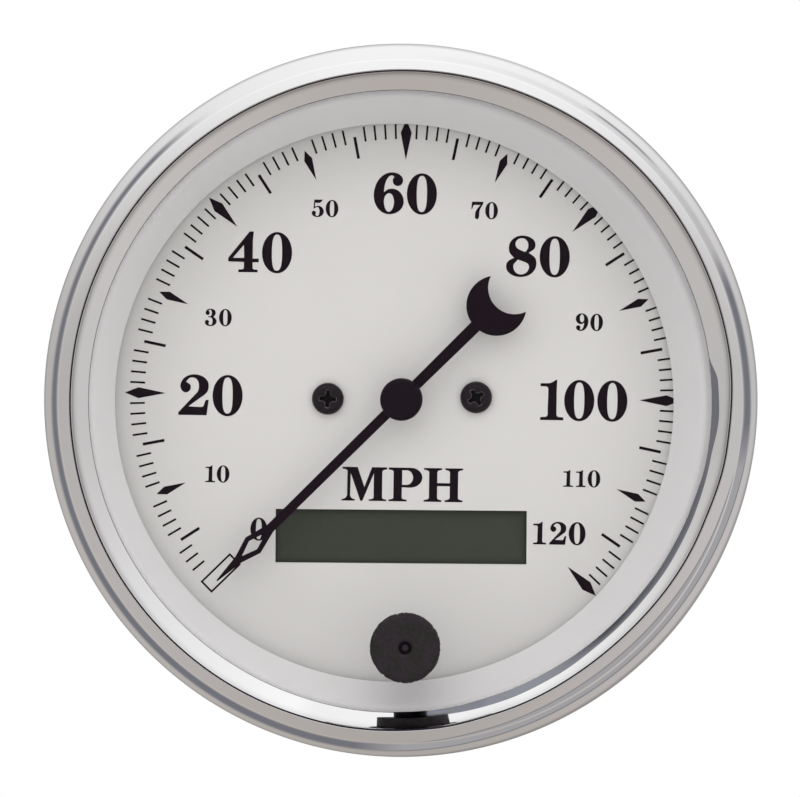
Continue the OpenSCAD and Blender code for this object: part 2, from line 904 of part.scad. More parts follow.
// Round cap with a boss that goes through the pointer
module pointer_hub() {
    edge_r = 0.5;
    color("#141414") upright() difference() {
        union() {
            rod(hub_boss_r, pointer_z - hub_boss_h, pointer_z + pointer_t);
            translate([0, 0, pointer_z + pointer_t]) rotate_extrude() round_edged(hub_r, hub_h, edge_r);
        }
        rod(spindle_r + seat_gap, pointer_z - hub_boss_h - over, spindle_head + air);
    }
}

module pointer_spindle() {
    color("lightgray") upright() rod(spindle_r, spindle_foot, spindle_head);
}

module rotor_magnet() {
    color("dimgray") upright() tube(magnet_r, spindle_r + seat_gap,
        cavity_foot + rotor_gap, cavity_top - rotor_gap);
}

// Rubber cap on a foot, with a round edge and a hole that shows the end of the stem
module trip_knob() {
    edge_r = 0.7;
    color("#2a282a") upright() at_trip() difference() {
        union() {
            translate([0, 0, knob_z]) rotate_extrude() round_edged(knob_r, knob_h, edge_r);
            rod(knob_foot_r, knob_foot_z, knob_z + knob_h / 2);
        }
        rod(stem_r + seat_gap, knob_foot_z - over, knob_z);
        rod(spigot_r + seat_gap, knob_z - over, knob_z + spigot_h + seat_gap);
        rod(dimple_r, knob_z, knob_z + knob_h + over);
    }
}

module trip_stem() {
    color("#202020") upright() at_trip() difference() {
        union() {
            rod(stem_r, stem_foot, knob_z);
            rod(spigot_r, knob_z, knob_z + spigot_h);
            rod(collar_r, collar_z - collar_t, collar_z);
        }
        tube(stem_r + over, clip_groove_r, clip_z - seat_gap, clip_z + clip_t + seat_gap);
    }
}

// Spring clip in the stem's groove, open on one side
module trip_clip() {
    clip_grip = 0.2;
    slot_w = 2 * (clip_groove_r - clip_grip);
    color("silver") upright() at_trip() difference() {
        tube(clip_r, clip_groove_r + seat_gap, clip_z, clip_z + clip_t);
        at(0, -clip_r, 0) block(slot_w, 2 * clip_r, clip_z - over, clip_z + clip_t + over);
    }
}

module trip_plunger() {
    foot = switch_top - plunger_in;
    color("ivory") upright() at_trip() rod(plunger_r, foot, stem_foot);
}

bezel();
lens();
lens_gasket();
reflector_ring();
dial();
dial_screws();
case();
light_cup();
bobbin_front();
bobbin_rear();
sine_coil();
cosine_coil();
shield_can();
front_bearing();
rear_bearing();
circuit_board();
board_screws();
microcontroller();
voltage_regulator();
capacitors();
lcd_panel();
lcd_frame();
lcd_light_guide();
lcd_pins();
lamp_sockets();
lamp_bulbs();
bracket_studs();
terminal_block();
terminal_blades();
trip_bush();
trip_switch();
trip_spring();
pointer();
pointer_hub();
pointer_spindle();
rotor_magnet();
trip_knob();
trip_stem();
trip_clip();
trip_plunger();
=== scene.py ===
"""Looks of a round in-dash speedometer: dial print, finishes, chrome, lens, studio and camera.

Sizes are millimetres unless a name says otherwise. The front is drawn with x to the right,
y up and z towards the viewer, and put() turns that into the part's own frame.
"""

import json
import math

import bpy
from mathutils import Matrix, Quaternion, Vector, noise

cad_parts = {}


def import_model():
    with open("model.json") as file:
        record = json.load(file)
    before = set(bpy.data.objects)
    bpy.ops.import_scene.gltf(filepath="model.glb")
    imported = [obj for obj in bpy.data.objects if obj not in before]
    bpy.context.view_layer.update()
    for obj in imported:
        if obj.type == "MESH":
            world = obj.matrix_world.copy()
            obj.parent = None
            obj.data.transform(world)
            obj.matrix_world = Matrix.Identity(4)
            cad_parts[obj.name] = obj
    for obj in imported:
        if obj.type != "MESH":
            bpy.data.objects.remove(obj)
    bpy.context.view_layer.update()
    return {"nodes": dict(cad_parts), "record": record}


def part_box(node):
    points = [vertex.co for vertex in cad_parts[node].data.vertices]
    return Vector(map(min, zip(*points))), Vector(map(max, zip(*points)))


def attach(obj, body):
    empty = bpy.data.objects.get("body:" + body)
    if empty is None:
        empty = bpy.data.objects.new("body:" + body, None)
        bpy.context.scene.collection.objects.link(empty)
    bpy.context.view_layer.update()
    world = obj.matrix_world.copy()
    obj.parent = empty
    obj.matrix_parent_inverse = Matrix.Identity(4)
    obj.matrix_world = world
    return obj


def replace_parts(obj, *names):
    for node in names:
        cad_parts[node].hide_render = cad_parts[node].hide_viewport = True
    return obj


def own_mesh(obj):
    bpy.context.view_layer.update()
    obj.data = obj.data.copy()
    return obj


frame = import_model()
MM = 0.001

# Photograph: how wide its frame is at the bezel, and how the camera looks at it
FRAME_W = 105.41
CAMERA_DISTANCE = 2800
CAMERA_RIGHT_DEG = 1.2
CAMERA_UP_DEG = 2.6
CAMERA_ROLL_DEG = 0.42
CAMERA_CLIP_M = (0.1, 20)
AIM = (-0.10, 0.29, 3.0)

# Body that fixed pieces ride on, height of the dial's front, and thickness of the print on it
BODY = "gauge"
DIAL_FRONT = -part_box("dial")[0].y / MM
PRINT_T = 0.02


def put(x, y, z):
    """A point of the front drawing in the part's frame, in metres."""
    return Vector((x, -z, y)) * MM


# Node trees

# Most values of a noise texture lie between these
NOISE_MIDDLE = (0.3, 0.7)


class Tree:
    """Adds nodes to one tree. A value given for an input is a number, a colour or a socket."""

    def __init__(self, owner):
        owner.use_nodes = True
        self.owner = owner
        self.tree = owner.node_tree
        self.tree.nodes.clear()

    def add(self, kind, inputs=None, **settings):
        made = self.tree.nodes.new(kind)
        for key, value in settings.items():
            setattr(made, key, value)
        for key, value in (inputs or {}).items():
            self.feed(made.inputs[key], value)
        return made

    def feed(self, socket, value):
        if isinstance(value, bpy.types.NodeSocket):
            self.tree.links.new(value, socket)
        elif socket.type == "RGBA":
            socket.default_value = (*value[:3], 1.0)
        else:
            socket.default_value = value

    def fill(self, made, values):
        """Feeds a node's first inputs in their order, and gives its first output."""
        for socket, value in zip(made.inputs, values):
            self.feed(socket, value)
        return made.outputs[0]

    def math(self, operation, *values):
        return self.fill(self.add("ShaderNodeMath", operation=operation), values)

    def times(self, first, second):
        return self.math("MULTIPLY", first, second)

    def rest(self, share):
        """What a share leaves of 1."""
        return self.math("SUBTRACT", 1.0, share)

    def mix(self, share, first, second):
        """Colour between first and second."""
        made = self.add("ShaderNodeMix", data_type="RGBA")
        for index, value in ((0, share), (6, first), (7, second)):
            self.feed(made.inputs[index], value)
        return made.outputs[2]

    def blend(self, share, first, second):
        """Shader between first and second."""
        return self.fill(self.add("ShaderNodeMixShader"), (share, first, second))

    def span(self, value, low, high, to_low=0.0, to_high=1.0, kind="LINEAR"):
        """Value from low..high as to_low..to_high, held at the ends."""
        made = self.add("ShaderNodeMapRange", interpolation_type=kind)
        return self.fill(made, (value, low, high, to_low, to_high))

    def place(self):
        """Coordinates of the surface in its own frame, in metres."""
        return self.add("ShaderNodeTexCoord").outputs["Object"]

    def grain(self, size, detail=3.0):
        """Noise whose spots are about that many millimetres across."""
        inputs = {"Vector": self.place(), "Scale": 1 / (size * MM), "Detail": detail}
        return self.add("ShaderNodeTexNoise", inputs).outputs[0]

    def uneven(self, size, low, high):
        """Value that wanders from low to high over spots of that size."""
        return self.span(self.grain(size), *NOISE_MIDDLE, low, high)

    def bump(self, height, depth):
        """Surface relief of that depth in millimetres."""
        inputs = {"Height": height, "Distance": depth * MM}
        return self.add("ShaderNodeBump", inputs).outputs[0]

    def principled(self, inputs):
        return self.add("ShaderNodeBsdfPrincipled", inputs).outputs[0]

    def close(self, shader):
        """Ends a material with a shader."""
        self.add("ShaderNodeOutputMaterial", {"Surface": shader})
        return self.owner

    def painted(self, inputs):
        """Ends a material with one principled surface."""
        return self.close(self.principled(inputs))


def front_xy(tree, middle=(0.0, 0.0)):
    """Place on the front drawing from a middle point, in millimetres."""
    x, _, z = tree.add("ShaderNodeSeparateXYZ", {0: tree.place()}).outputs
    return [tree.math("SUBTRACT", tree.times(v, 1 / MM), m) for v, m in zip((x, z), middle)]


def toned(tree, tone, color):
    """A colour times a tone of at most 1."""
    return tree.mix(tone, (0.0, 0.0, 0.0), color)


def material(name):
    return Tree(bpy.data.materials.new(name))


def varied(tree, color, spread, size):
    """Colour that wanders by a share of itself over spots of that size."""
    if isinstance(color, bpy.types.NodeSocket):
        return tree.mix(tree.grain(size), toned(tree, 1 - spread, color), color)
    darker, paler = ([min(1.0, v * share) for v in color] for share in (1 - spread, 1 + spread))
    return tree.mix(tree.grain(size), darker, paler)


def skin(
    name, color, roughness, spread=0.08, patch=4.0, grain=0.3, depth=0.004, gloss=0.5, metal=0.0, tone=None,
):
    """General finish: wandering colour, uneven gloss and a fine relief. tone(tree) is the light it keeps."""
    tree = material(name)
    base = varied(tree, color, spread, patch)
    return tree.painted({
        "Base Color": toned(tree, tone(tree), base) if tone else base,
        "Metallic": metal,
        "Roughness": tree.uneven(patch, *roughness),
        "Normal": tree.bump(tree.grain(grain), depth),
        "Specular IOR Level": gloss,
    })


# Finishes

# Painted shade on the dial: how much it darkens towards its edge, with more of it at the top
DIAL_EDGE_R = (24.0, 37.0)
DIAL_EDGE_LOSS = 0.075
DIAL_TOP_LOSS = 0.07

# Edge of the reflector ring's slope, its tone, and the shares of that at the top and on the right, which are
# painted shade
RING_EDGE_R = 40.25
RING_TONE = 0.885
RING_TOP_SHARE = 0.85
RING_RIGHT_SHARE = 0.9

# Display window, and the painted shade that its edges put on the glass
WINDOW_W = 33.2
WINDOW_H = 7.1
WINDOW_SHADE_W = 0.9
WINDOW_SHADE = 0.72

# Thickness of the coils' wire, and the turn of a wave texture per unit of its scale, in radians
WIRE_D = 0.16
WAVE_TURN = 20

# Distance between the tracks of the circuit board
TRACK_PITCH = 3.4


def painted_shade_tone(tree):
    """Painted shade: the light left where the mesh's attribute "shade" says how much is lost."""
    return tree.rest(tree.add("ShaderNodeAttribute", attribute_name="shade").outputs["Fac"])


def chrome():
    """Polished plating, with painted shade next to a groove."""
    return skin("chrome", (0.90, 0.90, 0.905), (0.015, 0.04), spread=0.008, patch=9.0, grain=0.6,
                depth=0.00004, metal=1.0, tone=painted_shade_tone)


def dull_chrome():
    """Painted shade and painted reflection on the funnel's lip: darkened plating, shaded further as the
    mesh's attribute says.
    """
    return skin("dull_chrome", (0.28, 0.29, 0.325), (0.05, 0.12), spread=0.05, patch=3.0, grain=0.4,
                depth=0.0004, metal=1.0, tone=painted_shade_tone)


def groove_black():
    """Painted shade in the narrow groove between roll and funnel: a near-black finish where the gap lies in
    shade.
    """
    return skin("groove_black", (0.018, 0.013, 0.02), (0.4, 0.5), spread=0.15, patch=3.0, depth=0.0005,
                gloss=0.2)


def see_through(name, tint):
    """Clear sheet: straight through, with gloss at a flat angle."""
    tree = material(name)
    gloss = tree.add("ShaderNodeBsdfGlossy", {"Color": (1.0, 1.0, 1.0), "Roughness": 0.01}).outputs[0]
    clear = tree.add("ShaderNodeBsdfTransparent", {"Color": varied(tree, tint, 0.004, 12.0)}).outputs[0]
    back = tree.add("ShaderNodeNewGeometry").outputs["Backfacing"]
    edge = tree.add("ShaderNodeFresnel", {"IOR": 1.45}).outputs[0]
    return tree.close(tree.blend(tree.times(edge, tree.rest(back)), clear, gloss))


def clear_lens():
    return see_through("clear_lens", (0.99, 0.985, 0.985))


def clear_plastic():
    return see_through("clear_plastic", (0.93, 0.96, 0.97))


def bulb_glass():
    return see_through("bulb_glass", (0.97, 0.975, 0.98))


def black_rubber():
    """Charcoal rubber with pale specks and a pebbled skin."""
    purple, brown, pale = (0.025, 0.0145, 0.0225), (0.0165, 0.0152, 0.0135), (0.06, 0.052, 0.056)
    tree = material("black_rubber")
    speck = tree.span(tree.grain(0.12, 4.0), 0.62, 0.72)
    patches = tree.mix(tree.span(tree.grain(2.4), 0.4, 0.6), purple, brown)
    return tree.painted({
        "Base Color": tree.mix(speck, varied(tree, patches, 0.4, 0.16), pale),
        "Roughness": tree.uneven(0.5, 0.55, 0.8),
        "Normal": tree.bump(tree.grain(0.22, 5.0), 0.035),
        "Specular IOR Level": 0.35,
    })


def ring_painted_shade(tree):
    """Painted shade on the reflector ring: its tone, less of it at the top and on the right."""
    x, y = front_xy(tree)
    above = tree.span(y, 0.0, RING_EDGE_R, RING_TONE, RING_TONE * RING_TOP_SHARE)
    return tree.times(above, tree.span(x, 0.0, RING_EDGE_R, 1.0, RING_RIGHT_SHARE))


def satin_silver():
    """Satin paint on the reflector ring, with painted shade at the top and on the right."""
    return skin("satin_silver", (0.985, 0.98, 0.988), (0.4, 0.5), spread=0.012, patch=6.0, grain=0.05,
                depth=0.0012, gloss=0.3, tone=ring_painted_shade)


def dial_painted_shade(tree):
    """Painted shade on the dial, darker towards the edge where the frame round it shades it."""
    x, y = front_xy(tree)
    across = tree.math("SQRT", tree.math("ADD", tree.times(x, x), tree.times(y, y)))
    edge = tree.span(across, *DIAL_EDGE_R, kind="SMOOTHSTEP")
    up = tree.math("DIVIDE", y, DIAL_EDGE_R[1])
    ends = (DIAL_EDGE_LOSS - DIAL_TOP_LOSS, DIAL_EDGE_LOSS + DIAL_TOP_LOSS)
    return tree.rest(tree.times(edge, tree.span(up, -1.0, 1.0, *ends)))


def dial_white():
    """Off-white paint of the dial, with painted shade towards its edge."""
    return skin("dial_white", (0.785, 0.781, 0.765), (0.42, 0.52), spread=0.012, patch=7.0, grain=0.07,
                depth=0.0008, gloss=0.3, tone=dial_painted_shade)


def black_screw():
    return skin("black_screw", (0.0115, 0.007, 0.0115), (0.3, 0.42), spread=0.3, patch=0.8, grain=0.25,
                depth=0.002, gloss=0.2)


def screw_wear_and_highlight():
    """Edge of the screws' recess, where drivers have worn the black off, with a painted highlight where its
    slopes catch the light.
    """
    return skin("screw_wear_and_highlight", (0.30, 0.28, 0.30), (0.3, 0.45), spread=0.9, patch=0.5, grain=0.1, depth=0.003,
                metal=0.3)


# Painted shade deep in the screws' recess, darker than the heads
def screw_recess_shade():
    return skin("screw_recess_shade", (0.0015, 0.0006, 0.0008), (0.5, 0.7), spread=0.3, patch=0.5, grain=0.1,
                depth=0.003, gloss=0.1)


def black_case():
    return skin("black_case", (0.018, 0.018, 0.019), (0.38, 0.5), spread=0.12, patch=5.0, grain=0.45,
                depth=0.012)


def white_plastic():
    return skin("white_plastic", (0.80, 0.80, 0.77), (0.45, 0.6), spread=0.03, grain=0.2)


def ivory_plastic():
    return skin("ivory_plastic", (0.68, 0.62, 0.48), (0.4, 0.55), spread=0.04, grain=0.25, depth=0.006)


def black_plastic():
    return skin("black_plastic", (0.0065, 0.002, 0.007), (0.38, 0.5), spread=0.15, patch=2.0, grain=0.15,
                gloss=0.12)


def pointer_black():
    return skin("pointer_black", (0.0085, 0.0022, 0.0076), (0.5, 0.62), spread=0.12, patch=2.0, grain=0.09,
                depth=0.002, gloss=0.08)


def enamelled_copper(axis):
    """Close turns of enamelled wire, side by side along one axis."""
    tree = material("enamelled_copper_" + axis)
    turns = tree.add("ShaderNodeTexWave", {
        "Vector": tree.place(), "Scale": 2 * math.pi / (WAVE_TURN * WIRE_D * MM), "Distortion": 0.4,
    }, bands_direction=axis, wave_profile="SIN").outputs[1]
    return tree.painted({
        "Base Color": tree.mix(turns, (0.22, 0.07, 0.025), (0.62, 0.26, 0.10)),
        "Metallic": 0.8,
        "Roughness": tree.uneven(1.0, 0.25, 0.4),
        "Normal": tree.bump(turns, 0.06),
    })


def steel():
    return skin("steel", (0.58, 0.58, 0.57), (0.24, 0.42), spread=0.1, patch=1.6, grain=0.12, depth=0.003,
                metal=1.0)


def brass():
    return skin("brass", (0.66, 0.45, 0.17), (0.22, 0.36), patch=1.0, grain=0.1, depth=0.002, metal=1.0)


def board_green():
    """Solder mask over copper tracks, which show as raised paler lines."""
    tree = material("board_green")
    tracks = tree.add("ShaderNodeTexVoronoi", {
        "Vector": tree.place(), "Scale": 1 / (TRACK_PITCH * MM), "Randomness": 0.35,
    }, feature="DISTANCE_TO_EDGE").outputs["Distance"]
    line = tree.span(tracks, 0.06, 0.09, 1.0, 0.0)
    mask = varied(tree, (0.008, 0.085, 0.03), 0.1, 3.0)
    return tree.painted({
        "Base Color": tree.mix(line, mask, (0.02, 0.19, 0.06)),
        "Roughness": tree.uneven(0.4, 0.24, 0.36),
        "Normal": tree.bump(line, 0.03),
    })


def capacitor_sleeve():
    return skin("capacitor_sleeve", (0.06, 0.10, 0.17), (0.25, 0.4), patch=3.0)


def window_painted_shade(tree):
    """Painted shade on the display along the edges of its window."""
    lo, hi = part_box("lcd_panel")
    x, y = front_xy(tree, ((lo.x + hi.x) / 2 / MM, (lo.z + hi.z) / 2 / MM))
    beside = tree.math("SUBTRACT", WINDOW_W / 2, tree.math("ABSOLUTE", x))
    above = tree.math("SUBTRACT", WINDOW_H / 2, tree.math("ABSOLUTE", y))
    inset = tree.math("MINIMUM", beside, above)
    return tree.span(inset, 0.0, WINDOW_SHADE_W, WINDOW_SHADE, 1.0, kind="SMOOTHSTEP")


def lcd_glass():
    """Blank display: grey-green liquid crystal under polished glass, with painted shade along the window's
    edges.
    """
    return skin("lcd_glass", (0.05781, 0.06480, 0.05127), (0.08, 0.14), spread=0.035, patch=6.0, grain=0.05,
                depth=0.0004, gloss=0.25, tone=window_painted_shade)


def magnet():
    return skin("magnet", (0.05, 0.05, 0.053), (0.5, 0.7), spread=0.2, patch=0.7, grain=0.15, depth=0.015,
                metal=0.5)


def tin():
    return skin("tin", (0.66, 0.65, 0.62), (0.3, 0.45), patch=1.2, grain=0.2, metal=1.0)


MAKERS = (
    chrome, dull_chrome, groove_black, clear_lens, clear_plastic, bulb_glass, black_rubber, satin_silver,
    dial_white, black_screw, screw_wear_and_highlight, screw_recess_shade, black_case, white_plastic, ivory_plastic,
    black_plastic, pointer_black, steel, brass, board_green, capacitor_sleeve, lcd_glass, magnet, tin,
)
FINISH = {maker.__name__: maker() for maker in MAKERS}
COIL_AXES = {"sine_coil": "Z", "cosine_coil": "X"}


def wear(obj, *finishes):
    obj.data.materials.clear()
    for finish in finishes:
        obj.data.materials.append(finish)


def dress_nodes():
    """Gives every node of the frame the finish of its slot."""
    for row in frame["record"]["subparts"]:
        obj = frame["nodes"][row["node"]]
        axis = COIL_AXES.get(row["node"])
        wear(obj, enamelled_copper(axis) if axis else FINISH[row["material_slot"]])


# Pieces


def placed(name, data):
    """New object in the scene."""
    obj = bpy.data.objects.new(name, data)
    bpy.context.scene.collection.objects.link(obj)
    return obj


def piece(mesh, name, slot, body=BODY, sharp_deg=40):
    """Puts a mesh into the scene as a piece that rides on a body."""
    mesh.shade_smooth()
    mesh.set_sharp_from_angle(angle=math.radians(sharp_deg))
    obj = placed(name, mesh)
    wear(obj, FINISH[slot])
    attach(obj, body)
    return obj


def mesh_of(name, points, faces):
    mesh = bpy.data.meshes.new(name)
    mesh.from_pydata(points, [], faces)
    mesh.validate()
    mesh.update()
    return mesh


def smooth(value):
    """Smooth step: 0 up to 0, and 1 from 1 on."""
    share = min(1.0, max(0.0, value))
    return share * share * (3 - 2 * share)


# Dial print: outlines of nodes that are (x, y) at a corner, (x, y, angle) where the line runs smoothly
# through, or (x, y, angle before, angle after). Angles are degrees, None is a straight start or end.

# How far handles reach on a round outline and on a fuller one, and the steps between two nodes
ROUND = 0.5523
FULL = 0.72
CURVE_STEPS = 8


def handle(node, angle, other, fullness):
    """Handle at a node towards its neighbour, along the node's own direction."""
    here = Vector(node[:2])
    if angle is None:
        return here
    along = Vector((math.cos(math.radians(angle)), math.sin(math.radians(angle))))
    return here + fullness * along * along.dot(Vector(other[:2]) - here)


def add_outline(curve, nodes, fullness, move):
    """Adds one closed outline to a flat curve. move turns a drawn point into its place."""
    spline = curve.splines.new("BEZIER")
    spline.bezier_points.add(len(nodes) - 1)
    spline.use_cyclic_u = True
    for i, (node, point) in enumerate(zip(nodes, spline.bezier_points)):
        angles = (*node[2:], None, None)[:2] if len(node) != 3 else (node[2], node[2])
        before, after = nodes[i - 1], nodes[(i + 1) % len(nodes)]
        point.handle_left_type = point.handle_right_type = "FREE"
        point.co = (*move(Vector(node[:2])), 0)
        point.handle_left = (*move(handle(node, angles[0], before, fullness)), 0)
        point.handle_right = (*move(handle(node, angles[1], after, fullness)), 0)


def printed(name, outlines, spread=0.0):
    """Thin layer of ink on the dial, spread a little. Each outline is (nodes, fullness, move)."""
    curve = bpy.data.curves.new(name, "CURVE")
    curve.dimensions = "2D"
    curve.fill_mode = "BOTH"
    curve.resolution_u = CURVE_STEPS
    curve.extrude = PRINT_T * MM / 2
    curve.offset = spread * MM
    for nodes, fullness, move in outlines:
        add_outline(curve, nodes, fullness, move)
    drawn = placed(name + "_curve", curve)
    shown = drawn.evaluated_get(bpy.context.evaluated_depsgraph_get())
    mesh = bpy.data.meshes.new_from_object(shown)
    bpy.data.objects.remove(drawn)
    mesh.name = name
    lift = Matrix.Translation(put(0, 0, DIAL_FRONT + PRINT_T / 2))
    mesh.transform(lift @ Matrix.Rotation(math.radians(90), 4, "X"))
    return piece(mesh, name, "pointer_black")


PRINT_TURN = Matrix.Rotation(math.radians(-0.4), 2)
PRINT_SHIFT = Vector((0.055, 0.17))


def on_dial(point):
    """Place of a printed point: the print sits a little high and clockwise on the dial."""
    return (PRINT_TURN @ point + PRINT_SHIFT) * MM


def oval(x0, x1, y0, y1):
    xm, ym = (x0 + x1) / 2, (y0 + y1) / 2
    return [(xm, y1, 0), (x1, ym, 90), (xm, y0, 0), (x0, ym, 90)]


SIX = [
    [
        (44.3, 100.9, 0), (0, 43.8, 90), (38, -2.1, 0), (73.5, 28.7, 90), (45.5, 60.4, 0),
        (24.4, 51.3, 35, 90), (43.6, 94.1, 0), (50.6, 89.7, -45, 55), (46.5, 80.2, 90), (58.7, 68.1, 0),
        (71.3, 81.5, 90),
    ],
    [(38, 50.1, 0), (24.4, 29.9, 90), (37.4, 3.3, 0), (50.3, 28.1, 90)],
]
SIX_W = 73.5
SIX_MID = 49.4


def turned_over(loops, width, middle):
    """The same outlines turned by half a turn."""
    return [[(width - n[0], 2 * middle - n[1], *n[2:]) for n in loop] for loop in loops]


# Width and outlines of each sign, with a height of 100
SIGNS = {
    "0": (73.6, [oval(0, 73.6, -1.9, 99.6), oval(23.5, 49.9, 3.7, 94.3)]),
    "1": (56.6, [[
        (0, 90.2), (14, 90.2, 0), (38.5, 99.2, 30, None), (40.4, 99.2), (39.3, 75), (39.3, 14.2, 90),
        (46.5, 7, 0), (56.6, 6), (56.6, 0), (0, 0), (0, 6), (11.8, 7, 0), (18.4, 14.2, 90), (19.3, 77, 90),
        (11.8, 83.3, 0), (0, 83.8),
    ]]),
    "2": (74.8, [[
        (0.6, 0), (0.6, 5.7), (39, 47.2, 47), (50.9, 73.6, 90), (34.6, 93.1, 0), (17.6, 81.8, 49, -31),
        (29.9, 68.6, 90), (18, 56, 0), (5, 71.7, 90), (39, 100, 0), (74.2, 73.6, 90), (49.1, 39.6, 36),
        (23.9, 20.5), (57.9, 19.5, 0), (67.9, 37.1, 70, None), (74.5, 37.1), (69.8, 0),
    ]]),
    "3": (68, [[
        (33, 100, 0), (62, 76, 90), (48, 52.5), (68, 27, 90), (32, -2, 0), (0, 20, 90), (11, 34, 0),
        (23, 22, 90), (19, 12), (33, 4, 0), (45, 27, 90), (30, 50, 0), (20, 50), (20, 55.5), (30, 55.5, 0),
        (40, 76, 90), (31, 95, 0), (19, 88), (27, 76, 90), (15, 63.5, 0), (3.5, 76, 90),
    ]]),
    "4": (74.8, [
        [
            (52.2, 100), (61.6, 100), (59.7, 77), (59.7, 33), (74.8, 33), (74.8, 25.2), (59.7, 25.2),
            (59.7, 10.5, 90), (66, 5.8, 0), (72.3, 5.5), (72.3, 0), (25.5, 0), (25.5, 5.5), (32, 5.8, 0),
            (39, 10.5, 90), (39, 25.2), (0, 26), (0, 34.2),
        ],
        [(38.4, 68.2), (39.4, 34.2), (10, 34.2)],
    ]),
    "5": (70, [[
        (14, 100), (64, 100), (40, 81, 0), (19.5, 83), (17.5, 57), (38, 63.5, 0), (70, 31, 90), (33, -2, 0),
        (0, 22, 90), (12, 34.5, 0), (24, 22, 90), (20, 12), (34, 4, 0), (46, 31, 90), (33, 57, 0), (16, 49),
        (10.5, 48),
    ]]),
    "6": (SIX_W, SIX),
    "7": (70, [[
        (4, 100), (70, 100), (70, 94, None, 65), (46, 22, 90), (34, -2, 0), (22, 10, 90), (54, 82, 52, None),
        (16, 82, 0), (5, 58), (0, 58),
    ]]),
    "8": (74, [
        [
            (39.6, 99.9, 0), (71.1, 78.5, 90), (54.1, 57.7, 33, -30), (74, 30.7, 90), (35.8, -2, 0),
            (0, 22.5, 90), (20.1, 44.5, 18, 135), (6.3, 70.9, 90),
        ],
        [(38.4, 94.2, 0), (54.3, 76.6, 90), (47.2, 59.4, 55, -16), (21.6, 79.7, 90)],
        [(27.7, 41.2, 60, -17), (56.9, 23.1, 90), (35.8, 3.6, 0), (17, 23.1, 90)],
    ]),
    "9": (SIX_W, turned_over(SIX, SIX_W, SIX_MID)),
    "M": (134.1, [[
        (1.8, 100), (46.2, 100), (67.4, 39.5), (89.7, 100), (134.1, 100), (134.1, 94.5, None, 0),
        (120, 87, 90, None), (120, 10, None, 90), (132.8, 3.8, 0, None), (132.8, 0), (81.3, 0),
        (81.3, 3.8, None, 0), (95.6, 10, 90, None), (95.6, 84.4), (61.5, 0), (55.9, 0), (25.6, 84.9),
        (24.4, 17.7, None, 90), (38.5, 3.8, 0, None), (38.5, 0), (0, 0), (0, 3.8, None, 0),
        (16.2, 17.7, 90, None), (16.7, 88.2, None, 90), (1.8, 95.1, 0, None),
    ]]),
    "P": (99.5, [
        [
            (0, 100), (66, 100, 0), (99.5, 71, 90), (63.6, 41.5, 0), (38.5, 42.3), (38.5, 10, None, 90),
            (53.3, 4.4, 0, None), (53.3, 0), (0, 0), (0, 4.4, None, 0), (14.4, 10, 90, None),
            (14.4, 88, None, 90), (0, 94.4, 0, None),
        ],
        [(39.2, 93.3), (53, 93.3, 0), (72.6, 71, 90), (53, 48.6, 0), (39.2, 48.6)],
    ]),
    "H": (116, [[
        (0, 100), (53, 100), (53, 95.5, None, 0), (39.2, 88, 90, None), (39.2, 55.4), (77.7, 55.4),
        (77.7, 88, None, 90), (64, 95.5, 0, None), (64, 100), (116, 100), (116, 95.5, None, 0),
        (101.5, 88, 90, None), (101.5, 12, None, 90), (115.5, 4.5, 0, None), (115.5, 0), (63, 0),
        (63, 4.5, None, 0), (77.7, 12, 90, None), (77.7, 47.2), (39.2, 47.2), (39.2, 12, None, 90),
        (52, 4.5, 0, None), (52, 0), (0, 0), (0, 4.5, None, 0), (15.6, 12, 90, None), (15.6, 88, None, 90),
        (0, 95.5, 0, None),
    ]]),
}
SIGN_H = 100
SIGN_MID = 49.5
BIG, MEDIUM, SMALL, UNIT = 5.344, 3.0, 2.25, 4.42
INK_SPREAD = 0.0045

# What is printed, where its middle is, how tall it is, and the gaps between its signs
WORDS = [
    ("0", (-18.74, -17.80), MEDIUM, ()),
    ("10", (-24.31, -10.58), SMALL, (10,)),
    ("20", (-25.38, -0.18), BIG, (10,)),
    ("30", (-24.48, 10.11), SMALL, (14.6,)),
    ("40", (-19.07, 18.82), BIG, (8.6,)),
    ("50", (-10.58, 24.74), SMALL, (12,)),
    ("60", (0, 26.87), BIG, (8.3,)),
    ("70", (10.50, 24.78), SMALL, (12,)),
    ("80", (17.64, 18.83), BIG, (8.7,)),
    ("90", (24.55, 10.22), SMALL, (12,)),
    ("100", (23.98, -0.13), BIG, (2.4, 8.2)),
    ("110", (23.86, -10.47), SMALL, (17.7, 12)),
    ("120", (21.0, -17.76), MEDIUM, (13.7, 11.1)),
    ("MPH", (0.15, -11.64), UNIT, (6.2, 5.6)),
]


def word(text, middle, height, gaps):
    """Signs side by side round a middle point."""
    scale = height / SIGN_H
    total = sum(SIGNS[sign][0] for sign in text) + sum(gaps)
    left = -total / 2
    outlines = []
    for sign, gap in zip(text, (*gaps, 0)):
        width, loops = SIGNS[sign]
        corner = Vector(middle) + scale * Vector((left, -SIGN_MID))
        for loop in loops:
            inner_of_zero = sign == "0" and loop is loops[-1]
            outlines.append((
                loop, FULL if inner_of_zero else ROUND,
                lambda p, corner=corner: on_dial(corner + scale * p),
            ))
        left += width + gap
    name = "unit_mark" if text.isalpha() else "number_" + text
    printed(name, outlines, INK_SPREAD * height)


ZERO_DEG = 225
DEG_PER_MPH = 2.25
TOP_MPH = 120
# Marks as (inner radius, outer radius, width), and where the diamonds are widest
MINOR_MARK = (34.06, 36.04, 0.26)
FIVE_MARK = (32.0, 34.9, 0.38)
BIG_DIAMOND = (31.3, 36.7, 1.45, 34.9)
SMALL_DIAMOND = (30.8, 35.0, 1.1, 33.7)
ZERO_BOX = (30.8, 36.22, 2.1)
ZERO_BOX_LINE = 0.25
FIRST_MPH = 2


